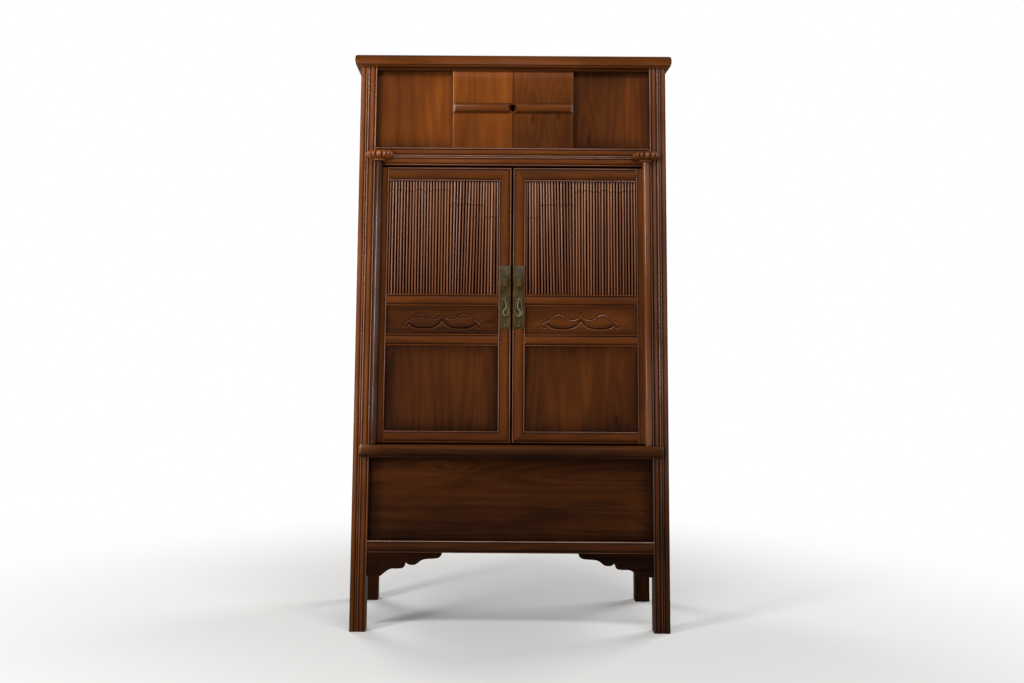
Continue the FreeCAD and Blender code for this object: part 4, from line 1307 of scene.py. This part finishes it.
@dataclass
class Capitals:
    """Carved capitals: a bun of petals over a small neck, half sunk in the rail."""

    petals: int = 9
    squareness: float = 2.6
    groove: float = 0.22
    tilts: tuple[float, float] = (-62.0, 78.0)
    roundness: float = 0.6
    neck_height: float = 7.0 * MM
    neck_girth: float = 0.44
    neck_swell: float = 0.05
    let_in: float = 4.0 * MM

    def build(self) -> list[Piece]:
        """Scale a half superellipse by the height's share of a bun and by a wave of petals round it.

        Returns:
            Both capitals.
        """
        low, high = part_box("capital_right")
        front, back = low[1], span("post_front_right", 1)[0] + self.let_in
        middle = float(LAYOUT.column(np.array((low[2] + high[2]) / 2)))
        turn = np.linspace(0, math.pi, self.petals * 12 + 1)[None]
        power = 2 / self.squareness
        across = -np.sign(np.cos(turn)) * np.abs(np.cos(turn)) ** power * (high[0] - low[0]) / 2
        ahead = np.sin(turn).clip(0) ** power * (back - front)
        wave = np.abs(np.sin(turn * self.petals)) ** 0.6
        tilt = np.radians(np.linspace(*self.tilts, 15))[:, None]
        collar = np.linspace(0, math.pi, 6)[:, None]
        neck = (self.neck_girth + self.neck_swell * np.sin(collar)) + 0 * turn
        bun = np.cos(tilt) ** self.roundness * (1 - self.groove * (1 - wave))
        girth = np.concatenate([neck, bun])
        belly = low[2] + self.neck_height
        rise = (np.sin(tilt) - np.sin(tilt[0])) / (np.sin(tilt[-1]) - np.sin(tilt[0]))
        neck_up = self.neck_height * 0.98 * collar / math.pi
        z = np.concatenate([low[2] + neck_up, belly + (high[2] - belly) * rise])
        # Dark grooves between the petals: painted shade; the petal crests are lighter and glossy.
        wear = np.concatenate([0.5 + 0.5 * np.sin(collar) + 0 * turn, 0.05 + wave * np.cos(tilt) ** 0.3])
        shell = tube(lattice(middle + across * girth, back - ahead * girth, z), wear)
        return pair("capital", "carcass", Look.FRAME, [shell], Grain.ALONG_X, (0.60, 0.50))


@dataclass
class Inside:
    """Floors, shelf and bearers, each of plain planks."""

    planks: int = 4
    gap: float = 0.8 * MM
    edge: float = 1.5 * MM
    bearer_depth: float = 22.0 * MM
    tone_scatter: float = 0.06

    def build(self) -> list[Piece]:
        """Carry plank sections from side to side, and the bearers from front to back.

        Returns:
            The pieces inside.
        """
        tones = {"loft_floor": 0.34, "base_floor": 0.28, "shelf": 0.38}
        made = [self.planked(node, tone) for node, tone in tones.items()]
        near = LAYOUT.inset("shelf_bearer_right")
        _, depths, heights = spans("shelf_bearer_right")
        section = squared(near, near + self.bearer_depth, *heights, self.edge)
        bar = along_y(section, *depths, LAYOUT.outer)
        return made + pair("shelf_bearer", "carcass", Look.DULL_FRAME, [bar], Grain.ALONG_Y, (0.36, 0.36))

    def planked(self, node: str, tone: float) -> Piece:
        """Boards side by side over the place of a node, each with eased edges.

        Args:
            node: the node that they replace.
            tone: how light they are on the whole.

        Returns:
            The boards.
        """
        _, (front, rear), heights = spans(node)
        inset = LAYOUT.inset(node)
        width = (rear - front) / self.planks
        shells = []
        for start in front + width * np.arange(self.planks):
            near, far = start + self.gap / 2, start + width - self.gap / 2
            section = squared(near, far, *heights, self.edge)
            shells.append(along_x(section, lambda y, z: inset - LAYOUT.outer(z),
                                  lambda y, z: LAYOUT.outer(z) - inset))
        for shell, shift in zip(shells, scatter(self.tone_scatter, self.planks)):
            shell.tone = shift
        return Piece(node, "carcass", Look.DULL_PANEL, shells, Grain.ALONG_X, tone)


@dataclass
class UpperPanels:
    """Well panel, fixed panels beside the sliders, and the sliders with their half-round battens."""

    bevel: float = 22.0 * MM
    bevel_depth: float = 4.0 * MM
    edge: float = 2.2 * MM
    batten_run: float = 9.0 * MM
    hole: float = 10.5 * MM
    flare: float = 4.5 * MM
    hole_clear: float = 0.3 * MM
    end_step: float = 1.5 * MM
    edge_light_width: float = 3.0 * MM
    well_depth: float = 12.0 * MM
    panel_depth: float = 10.0 * MM

    def build(self) -> list[Piece]:
        """Grids for the panels, and a half-round section for the battens.

        Returns:
            The pieces.
        """
        def post_edge(z: Array) -> Array:
            """X of a panel's edge in the groove of the right-hand post."""
            return LAYOUT.inner(z) + LAYOUT.groove

        well = board("front_well_panel", lambda z: -post_edge(z), post_edge, self.well_depth)
        start = span("fixed_panel_right", 0)[0]
        fixed = board("fixed_panel_right", level(start), post_edge, self.panel_depth)
        return ([Piece("front_well_panel", "carcass", Look.DULL_PANEL, [well], Grain.ALONG_X, 0.35)]
                + pair("fixed_panel", "carcass", Look.PANEL, [fixed], Grain.ALONG_Z, (0.55, 0.40))
                + pair("sliding_panel", "slider", Look.PANEL, [self.slider()], Grain.ALONG_Z, (0.64, 0.49))
                + pair("panel_batten", "slider", Look.FRAME, [self.batten()], Grain.ALONG_X, (0.46, 0.46)))

    def hole_edge(self, z: Array, flare: Array | float = 0.0) -> Array:
        """Half width of the flared finger hole at a height, none above and below it."""
        low, high = span("panel_batten_right", 2)
        return np.sqrt(((self.hole + flare) ** 2 - (z - (low + high) / 2) ** 2).clip(0))

    def slider(self) -> Surface:
        """Panel that thins towards its top, with rounded upright edges and half a finger hole in one.

        Returns:
            The right slider.
        """
        (left, right), (front, back), (low, high) = spans("sliding_panel_right")
        opening = span("head_rail", 2)[0]
        centre = sum(span("panel_batten_right", 2)) / 2
        foot = opening - self.bevel
        dense = centre - self.hole * np.cos(np.linspace(0, math.pi, 17))
        z = np.concatenate([np.linspace(low, dense[0], 8)[:-1], dense, np.linspace(dense[-1], foot, 5)[1:],
                            np.linspace(foot, opening, 8)[1:], [high]])[:, None]
        share = (stations(left, right, self.edge, 21) - left) / (right - left)
        inner = np.maximum(left, self.hole_edge(z))
        x = inner + (right - inner) * share[None]
        rim = np.minimum(x - inner, right - x)
        thin = self.bevel_depth * ((z - foot) / self.bevel).clip(0, 1)
        y = front + thin + eased(rim, self.edge) * (1 - 0.5 * thin / self.bevel_depth) * (inner == left)
        # Painted light: lighter towards the top and on the bevel, a pale line along the outer edge and a dark
        # line along the meeting edge.
        fall = ((z - low) / (opening - low)).clip(0, 1)
        near = 1 - (rim / self.edge_light_width).clip(0, 1)
        rub_and_light = np.where(x - inner < right - x, -0.3, 0.95) * near * (inner == left)
        lit = 0.3 + 0.3 * fall + 0.05 * (z > foot) + rub_and_light
        return relief(lattice(x, y, z), flat_back(back), lit)

    def batten(self) -> Surface:
        """Half-round bar: both ends are scooped back to the panel, the inner one round the finger hole.

        Returns:
            The right batten.
        """
        (left, right), (front, back), (low, high) = spans("panel_batten_right")
        turn = np.linspace(0, math.pi, 25)
        proud = np.sin(turn).clip(0.06)
        z = (low + high) / 2 - (high - low) / 2 * np.cos(turn)
        run = np.array([0.0, 0.8, 1.0, 1.0])[:, None] * self.batten_run * proud
        step = np.array([0.0, 0.0, 0.0, self.end_step])[:, None]
        flare = np.array([0.0, 0.5, 1.0, 1.0])[:, None] * self.flare
        inner = np.maximum(left + run, self.hole_edge(z, flare) + self.hole_clear) + step
        outer = (right - run - step)[::-1]
        share = np.linspace(0, 1, 9)[1:-1, None]
        x = np.concatenate([inner, inner[-1] * (1 - share) + outer[0] * share, outer])
        scoop = np.array([0.04, 0.5, 1.0, 1.0])
        depth = np.concatenate([scoop, np.ones(7), scoop[::-1]])[:, None]
        # Pale scooped ends: raw end grain and painted highlight; the half-round darkens towards its edges by
        # the panel: painted shade.
        pale = np.concatenate([[0.6, 0.7, 1.15, 0.0], np.zeros(7), [0.0, 1.15, 1.25, 1.25]])[:, None]
        y = back - (back - front) * proud * depth
        wear = np.where(pale > 0, pale, 0.25 + 0.6 * np.sin(turn))
        rings = np.concatenate([lattice(x, y, z), lattice(x, back, z)[:, ::-1]], axis=1)
        return tube(rings, np.concatenate([wear, 0 * wear], axis=1))


@dataclass
class Doors:
    """Both door leaves: column, stiles, rails, bamboo slats, carved panel and lower panel."""

    face_rise: float = 4.0 * MM
    stile_strips: tuple = (BEAD, QUIRK, band(27.0), QUIRK, BEAD)
    bottom_strips: tuple = (SOFT_BEAD, QUIRK, band(27.0), QUIRK, BEAD)
    hinge_strips: tuple = (BEAD, QUIRK, band(32.6))
    rail_strips: tuple = (BEAD, QUIRK, band(27.0, 6.8, 1.0), QUIRK, BEAD)
    rail_rise: float = 7.6 * MM
    panel_depth: float = 10.0 * MM
    column_end: float = 2.0 * MM
    column_gap: float = 0.6 * MM
    slat_pitch: float = 9.4 * MM
    slat_width: float = 8.2 * MM
    slat_rise: float = 3.3 * MM
    slat_web: float = 1.4 * MM
    slat_girths: tuple[float, float] = (0.80, 1.04)
    slat_skew: float = 0.3
    slat_tones: float = 0.09
    # Lean and bow of the slats, in millimetres
    most_lean: float = 8.0
    lean_scatter: float = 1.0
    most_bow: float = 0.7
    # Where across the door each run of canes ends, how high its joints lie, and a joint's size, as shares
    cane_ends: tuple = (0.13, 0.44, 1.0)
    cane_joints: tuple = (0.67, 0.79, 0.90)
    joint_scatter: float = 0.011
    knuckle: float = 0.006
    lip: float = 0.005
    lip_above: float = 0.014

    def build(self) -> list[Piece]:
        """Make the right leaf and mirror it.

        Returns:
            The pieces of both leaves.
        """
        (meet, meet_in), (front, back), (low, high) = spans("meeting_stile_right")
        floor = front + self.face_rise
        bottom_top = span("door_bottom_rail_right", 2)[1]
        top_low = span("door_top_rail_right", 2)[0]
        width = meet_in - meet

        section = post_section(self.stile_strips, width, floor, back)
        foot, head = self.slanted(low, bottom_top, width), self.slanted(high, top_low, width)
        stile = along_z(section, foot, head, level(meet))
        hinge_w = span("hinge_stile_right", 0)[1] - float(LAYOUT.hinge(np.array(low)))
        section = post_section(self.hinge_strips, hinge_w, floor, back)
        hinge = along_z(section, level(low), level(high), LAYOUT.hinge)

        carved_low, carved_high = np.array(span("carved_panel_right", 2)) + [LAYOUT.groove, -LAYOUT.groove]
        mid_low, mid_high = span("door_mid_rails_right", 2)
        rails = [self.rail(height, (meet_in, meet_in), self.rail_strips, self.rail_rise)
                 for height in ((mid_low, carved_low), (carved_high, mid_high))]
        top = self.rail((top_low, high), (meet_in, meet), self.stile_strips, self.face_rise)
        bottom = self.rail((low, bottom_top), (meet, meet_in), self.bottom_strips, self.face_rise)
        lower = board("lower_panel_right", level(meet_in - LAYOUT.groove),
                      lambda z: LAYOUT.hinge(z) + LAYOUT.groove, self.panel_depth)
        carved = CarvedPanel().build(meet_in)
        slats = self.slats(meet_in)
        # The left column's far darker tone is painted shade.
        return (pair("pivot_column", "door", Look.FRAME, [self.column()], Grain.ALONG_Z, (0.19, 0.48))
                + pair("hinge_stile", "door", Look.FRAME, [hinge], Grain.ALONG_Z, (0.44, 0.42))
                + pair("meeting_stile", "door", Look.FRAME, [stile], Grain.ALONG_Z, (0.46, 0.49))
                + pair("door_top_rail", "door", Look.FRAME, [top], Grain.ALONG_X, (0.43, 0.40))
                + pair("door_mid_rails", "door", Look.FRAME, rails, Grain.ALONG_X, (0.46, 0.45))
                + pair("door_bottom_rail", "door", Look.FRAME, [bottom], Grain.ALONG_X, (0.44, 0.44))
                + pair("lower_panel", "door", Look.PANEL, [lower], Grain.ALONG_Z, (0.31, 0.36))
                + pair("carved_panel", "door", Look.PANEL, [carved], Grain.ALONG_X, (0.42, 0.40))
                + pair("bamboo_slats", "door", Look.BAMBOO, slats, Grain.ALONG_Z, (0.50, 0.49)))

    @staticmethod
    def slanted(start: float, end: float, width: float) -> Edge:
        """Mitred end of a stile: from one height to another across its width."""
        return lambda x: start + (end - start) * (x / width).clip(0, 1)

    @staticmethod
    def rail(height: tuple[float, float], meeting: tuple[float, float], strips: Sequence[Strip],
             rise: float) -> Surface:
        """Moulded rail from the meeting stile to the leaning hinge stile.

        Args:
            height: Z of its lower and upper edge.
            meeting: X of its inner end at the lower and the upper edge.
            strips: its moulding.
            rise: height of the moulding above its floor.

        Returns:
            The rail of the right door.
        """
        front, back = span("meeting_stile_right", 1)
        section = bar_section(strips, *height, front + rise, back)
        return along_x(section, lambda y, z: np.interp(z, height, meeting), lambda y, z: LAYOUT.hinge(z))

    def column(self) -> Surface:
        """Round shaft along the lean, its two ends eased.

        Returns:
            The right column.
        """
        low = next(joint["pos_m"][2] for joint in frame["joints"] if joint["name"] == "door_right_swing")
        high = span("capital_right", 2)[0] - self.column_gap
        z = stations(low, high, self.column_end, 21)[:, None]
        turn = np.linspace(0, 2 * math.pi, 40, endpoint=False)[None]
        radius = LAYOUT.column_r - 0.6 * eased(np.minimum(z - low, high - z), self.column_end)
        x = LAYOUT.column(z) + radius * np.cos(turn)
        y = LAYOUT.column_y + radius * np.sin(turn)
        return tube(lattice(x, y, z), 0.92)

    def slats(self, meet_in: float) -> list[Surface]:
        """Split canes side by side: a half-round section that leans, bows a little and swells at a joint.

        They lean most a quarter of the way across; their crowns are painted pale and the gaps between them
        dark, lighter towards the top: painted highlight and shade.

        Args:
            meet_in: X of the meeting stile's inner edge.

        Returns:
            One shell for each slat.
        """
        _, (_, back), (low, high) = spans("bamboo_slats_right")
        hinge_low, hinge_high = LAYOUT.hinge(np.array([low, high])) - meet_in
        count = int(hinge_low / self.slat_pitch)
        share = (np.arange(count) + 0.5) / count
        joint = np.array(self.cane_joints)[np.searchsorted(self.cane_ends, share)]
        joint = joint + scatter(self.joint_scatter, count)
        lean = (self.most_lean * bell(share - 0.25, 0.16) + scatter(self.lean_scatter, count)) * MM
        bow = scatter(self.most_bow, count) * MM
        girth = RNG.uniform(*self.slat_girths, count)
        skew = scatter(self.slat_skew, count)
        tones = scatter(self.slat_tones, count)
        turn = np.linspace(0, math.pi, 9)
        shells = []
        for slat in range(count):
            near = joint[slat] + np.linspace(-0.016, 0.024, 11)
            rise = np.sort(np.concatenate([np.linspace(0, 1, 21), near]))[:, None]
            knuckle = bell(rise - joint[slat], self.knuckle)
            lip = bell(rise - joint[slat] - self.lip_above, self.lip)
            centre = meet_in + share[slat] * (hinge_low * (1 - rise) + hinge_high * rise)
            centre = centre + lean[slat] * (0.5 - rise) + bow[slat] * np.sin(math.pi * rise)
            half = self.slat_width / 2 * girth[slat] * (1 + 0.06 * knuckle)
            x = np.concatenate([centre - half * np.cos(turn), centre + half, centre - half], axis=1)
            crown = self.slat_rise * (1 + 0.08 * knuckle) * np.sin(turn) * (1 + skew[slat] * np.cos(turn))
            y = np.concatenate([back - self.slat_web - crown, np.full((len(rise), 2), back)], axis=1)
            z = low + (high - low) * rise
            # Painted light: pale crowns, dark gaps between slats and more light towards the top; the joint's
            # knuckle is darker.
            lit = 1.85 * np.sin(turn).clip(0) ** 3 - 0.98 - 0.4 * knuckle + 0.1 * lip + 0.48 * rise
            wear = np.concatenate([lit, np.zeros((len(rise), 2))], axis=1)
            shell = tube(lattice(x, y, z), wear)
            shell.tone = tones[slat]
            shells.append(shell)
        return shells


@dataclass
class CarvedPanel:
    """Panel with a sunk double-leaf scroll: each leaf's edge is cut down, its field rises to the middle."""

    upper: tuple = ((0, 2), (6, -1), (15, -4), (30, -5), (45, 1), (58, 9), (69, 12), (82, 9), (94, 2),
                    (103, -6), (108, -12))
    lower: tuple = ((0, 1), (5, -5), (12, -13), (24, -21), (42, -25), (62, -26), (82, -25), (97, -20),
                    (108, -12))
    ribbon: tuple = ((0, 28), (5, 16), (14, 6), (30, 2), (45, 8), (57, 17), (68, 20), (82, 17), (94, 9),
                     (104, 1), (117, -5), (126, -11), (125, -20), (115, -24), (110, -17))
    depth: float = 4.6 * MM
    field: float = 6.0
    stroke: float = 1.5
    leaf_light: float = 4.4
    ribbon_light: float = 2.6
    pitch: float = 1.0 * MM

    def build(self, meet_in: float) -> Surface:
        """Height of the face from the distance to the scroll's lines.

        Args:
            meet_in: X of the meeting stile's inner edge.

        Returns:
            The closed panel of the right door.
        """
        _, (front, back), (low, high) = spans("carved_panel_right")
        groove = LAYOUT.groove
        z = np.linspace(low, high, int((high - low) / self.pitch))[:, None]
        right = LAYOUT.hinge(z) + groove
        left = meet_in - groove
        share = np.linspace(0, 1, int((right[0, 0] - left) / self.pitch))[None]
        x = left * (1 - share) + right * share
        middle = (meet_in + float(LAYOUT.hinge(np.array((low + high) / 2)))) / 2
        across, up = np.abs(x - middle) / MM, (z - (low + high) / 2) / MM + 0 * x
        sunk, rim = self.sunk(across, up)
        edge = to_rim(x, left, right, z, low, high) - groove
        # Painted light: the cuts darkened, painted shade, and the lower rims paled, painted highlight.
        wear = rim_grime_and_shade(edge.clip(0)) - 0.9 * sunk / self.depth + 0.85 * rim
        return relief(lattice(x, front + sunk, z), flat_back(back), wear)

    def sunk(self, across: Array, up: Array) -> tuple[Array, Array]:
        """Depth of the carving at points given from the motif's centre, in millimetres.

        Args:
            across: distance from the upright middle line.
            up: height above the middle.

        Returns:
            Depth in metres, and the painted highlight along the lower rims, from zero to one.
        """
        upper, lower, ribbon = (smooth_line(line, 10) for line in (self.upper, self.lower, self.ribbon))
        top = np.interp(across, upper[:, 0], upper[:, 1])
        bottom = np.interp(across, lower[:, 0], lower[:, 1])
        inside = (across < self.upper[-1][0]) & (up < top) & (up > bottom)
        to_upper, to_lower, to_ribbon = (self.distance(across, up, line) for line in (upper, lower, ribbon))
        cut = np.maximum(bell(to_lower, 2.0), 0.5 * np.exp(-to_lower / self.field) * inside)
        cut = np.maximum(cut, 0.42 * bell(to_upper, 2.4))
        cut = np.maximum(cut, 0.55 * bell(to_ribbon, self.stroke))
        # Painted highlight just below the leaf's lower edge and below the ribbon.
        leaf_highlight = bell(self.distance(across, up + self.leaf_light, lower), 1.3) * ~inside
        ribbon_highlight = bell(self.distance(across, up + self.ribbon_light, ribbon), 1.0)
        return self.depth * cut, np.maximum(leaf_highlight, ribbon_highlight)

    @staticmethod
    def distance(across: Array, up: Array, line: Array) -> Array:
        """Distance from every grid point to the nearest point of a line.

        Args:
            across: places across the grid.
            up: places up the grid.
            line: points of the line.

        Returns:
            The distances, in the shape of the grid.
        """
        nearest = np.full(across.shape, np.inf)
        for place in line:
            nearest = np.minimum(nearest, np.hypot(across - place[0], up - place[1]))
        return nearest


@dataclass
class Fittings:
    """Brass on the meeting stiles: plates, staples and the bent wire inside each pull."""

    bar: float = 6.0 * MM
    bar_edge: float = 1.2 * MM
    bar_bend: float = 4.0 * MM
    wire: float = 1.4 * MM
    plate_edge: float = 1.2 * MM
    plate_set: float = 0.2 * MM
    plate_sway: float = 0.08 * MM
    sway_from: float = 2.0 * MM
    rubbed: float = 1.0 * MM
    bloom_height: float = 50.0 * MM
    strand_knots: tuple = ((0.05, 0.93), (-0.30, 0.62), (-0.10, 0.44), (0.30, 0.36), (0.35, 0.20),
                           (-0.10, 0.06))

    def build(self) -> list[Piece]:
        """Make the right-hand fittings and mirror them.

        Returns:
            Plates, staples and wires.
        """
        strands = [Piece(side.node("pull_drop"), side.node("pull"), Look.WIRE, [self.strand().mirrored(side)],
                         hides=False) for side in Side]
        return (pair("lock_plate", "door", Look.BRASS, [self.plate()], Grain.ALONG_Z, (0.5, 0.5))
                + pair("lock_staple", "door", Look.BRASS, [self.staple()], Grain.ALONG_Z, (0.5, 0.5))
                + strands)

    def plate(self) -> Surface:
        """Sheet with rounded edges, whose face sways by two crossing sines.

        Returns:
            The right plate.
        """
        (left, right), (front, back), (low, high) = spans("lock_plate_right")
        x = stations(left, right, self.plate_edge, 15)[None]
        z = stations(low, high, self.plate_edge, 61)[:, None]
        rim = to_rim(x, left, right, z, low, high)
        sway = self.plate_sway * (np.sin(x * 210 + 3 * np.sin(z * 47)) + np.sin(z * 83 + x * 90))
        y = front + self.plate_set + eased(rim, self.plate_edge) + sway * (rim > self.sway_from)
        bloom = ((z - high) / self.bloom_height + 1).clip(0, 1)
        wear = 0.44 - 0.26 * bloom + 0.2 * (rim < self.rubbed)
        return relief(lattice(x, y, z), flat_back(back), wear)

    def staple(self) -> Surface:
        """Flat bar bent into a square loop: a rounded section carried round a rounded square.

        Returns:
            The right staple.
        """
        (left, right), (front, _), (low, high) = spans("lock_staple_right")
        back = span("lock_plate_right", 1)[0]
        half = self.bar / 2
        path = squared(front + half, back - half / 2, low + half, high - half, self.bar_bend, 7)[:, :2]
        outward = sideways(np.roll(path, -1, 0) - np.roll(path, 1, 0))
        section = rounded([(left, -half), (right, -half), (right, half), (left, half)], self.bar_edge, 4)
        yz = path[:, None] + outward[:, None] * section[None, :, 1:2]
        x = np.broadcast_to(section[None, :, :1], (*yz.shape[:2], 1))
        return tube(np.concatenate([x, yz], axis=-1), 0.6, looped=True)

    def strand(self) -> Surface:
        """Bent wire across the pull's loop: a circle carried along a smooth line in the loop's own plane.

        Returns:
            The right wire.
        """
        (left, right), (front, back), (low, high) = spans("pull_drop_right")
        path = smooth_line(self.strand_knots, 8) * [(right - left) / 2, high - low]
        path = path + [(left + right) / 2, low]
        across = sideways(np.gradient(path, axis=0))
        turn = np.linspace(0, 2 * math.pi, 12, endpoint=False)
        xz = path[:, None] + across[:, None] * (self.wire * np.cos(turn))[None, :, None]
        y = (front + back) / 2 + self.wire * np.sin(turn)
        return tube(lattice(xz[..., 0], y, xz[..., 1]), 0.7)


@dataclass(frozen=True)
class Lamp:
    """Soft rectangular lamp: where it hangs, what it faces, its width and height, and its power in watts."""

    name: str
    place: tuple[float, float, float]
    target: tuple[float, float, float]
    size: tuple[float, float]
    power: float

    def hang(self) -> None:
        """Add the lamp, tilted and turned so that it faces its target."""
        data = bpy.data.lights.new(self.name, "AREA")
        data.shape = "RECTANGLE"
        data.size, data.size_y = self.size
        data.energy = self.power
        lamp = bpy.data.objects.new(self.name, data)
        lamp.location = self.place
        aim = np.subtract(self.target, self.place)
        tilt = math.atan2(np.hypot(aim[0], aim[1]), -aim[2])
        lamp.rotation_euler = (tilt, 0.0, math.atan2(-aim[0], aim[1]))
        bpy.context.scene.collection.objects.link(lamp)


@dataclass
class Studio:
    """Pale paper floor, soft lamps and the camera."""

    lamps: tuple[Lamp, ...] = (
        Lamp("window", (-2.7, -2.7, 1.8), (0.0, -0.2, 1.2), (0.7, 2.7), 93.0),
        Lamp("overhead", (0.3, -2.4, 3.7), (0.0, -0.2, 1.0), (3.0, 0.6), 75.0),
        Lamp("rear_left", (-2.4, 3.0, 2.3), (0.0, 0.2, 0.9), (1.8, 1.8), 75.0),
        Lamp("rear_right", (2.9, 2.0, 2.3), (0.0, 0.2, 0.9), (1.8, 1.8), 75.0),
    )
    camera_place: tuple[float, float, float] = (-0.10, -3.865, 0.935)
    front: float = -0.235
    centre: float = 0.0013
    roll: float = -0.36
    focal_pixels: float = 1131.0
    frame_width: int = 1024
    floor_radius: float = 30.0
    ambient: float = 0.12

    def build(self) -> None:
        """Lay the paper, hang the lamps and set the camera."""
        self.paper()
        for lamp in self.lamps:
            lamp.hang()
        self.world()
        bpy.context.scene.view_settings.view_transform = "Standard"
        self.camera()

    def paper(self) -> None:
        """Round floor: one ring of points, filled."""
        turn = np.linspace(0, 2 * math.pi, 64, endpoint=False)
        rim = np.stack([np.cos(turn), np.sin(turn), 0 * turn], axis=-1) * self.floor_radius
        mesh = bpy.data.meshes.new("paper_floor")
        mesh.from_pydata(rim.tolist(), [], [list(range(len(rim)))])
        paper = Paper("pale_paper", srgb(234, 233, 231), near=0.7, far=2.5, least=0.08)
        mesh.materials.append(paper.material())
        floor = bpy.data.objects.new("paper_floor", mesh)
        bpy.context.scene.collection.objects.link(floor)

    def world(self) -> None:
        """Faint even light that looks white to the camera and in reflections."""
        world = bpy.data.worlds.new("plain_light")
        shader = Shader(world.name, world)
        strength = self.ambient + shader.seen() * (1 - self.ambient)
        sky = shader.node("ShaderNodeBackground", {}, {"Color": (1.0, 1.0, 1.0, 1.0), "Strength": strength})
        shader.node("ShaderNodeOutputWorld", {}, {0: sky.outputs[0]})
        bpy.context.scene.world = world

    def camera(self) -> None:
        """Level camera in front of the doors and a little to their left, rolled a little."""
        data = bpy.data.cameras.new("camera")
        data.sensor_width = 36.0
        data.lens = self.focal_pixels / self.frame_width * data.sensor_width
        view = bpy.data.objects.new("camera", data)
        view.location = self.camera_place
        view.rotation_euler = (math.pi / 2, math.radians(self.roll), 0.0)
        distance = self.front - self.camera_place[1]
        data.shift_x = (self.centre - self.camera_place[0]) * self.focal_pixels / distance / self.frame_width
        bpy.context.scene.collection.objects.link(view)
        bpy.context.scene.camera = view


def dress_nodes(material: bpy.types.Material, stems: Sequence[str]) -> None:
    """Give the paired nodes that stay as they are a finish.

    Args:
        material: the finish.
        stems: names of the nodes without their side.
    """
    for stem in stems:
        for side in Side:
            for holder in frame["nodes"][side.node(stem)].material_slots:
                holder.material = material


def main() -> None:
    """Build every sub-assembly in order, dress the nodes that stay, and set the stage."""
    logging.basicConfig(level=logging.INFO, format="%(name)s: %(message)s")
    materials = {look: finish.material() for look, finish in FINISHES.items()}
    for assembly in (Posts(), FrontRails(), TopBoard(), SideAndBack(), Brackets(), Capitals(), Inside(),
                     UpperPanels(), Doors(), Fittings()):
        for piece in assembly.build():
            shown = piece.place(materials)
            LOG.info("%s %s: %d points", type(assembly).__name__, shown.name, len(shown.data.vertices))
    dress_nodes(materials[Look.WIRE], ("plate_nails", "pull_eye", "pull_drop"))
    Studio().build()


if __name__ == "__main__":
    main()
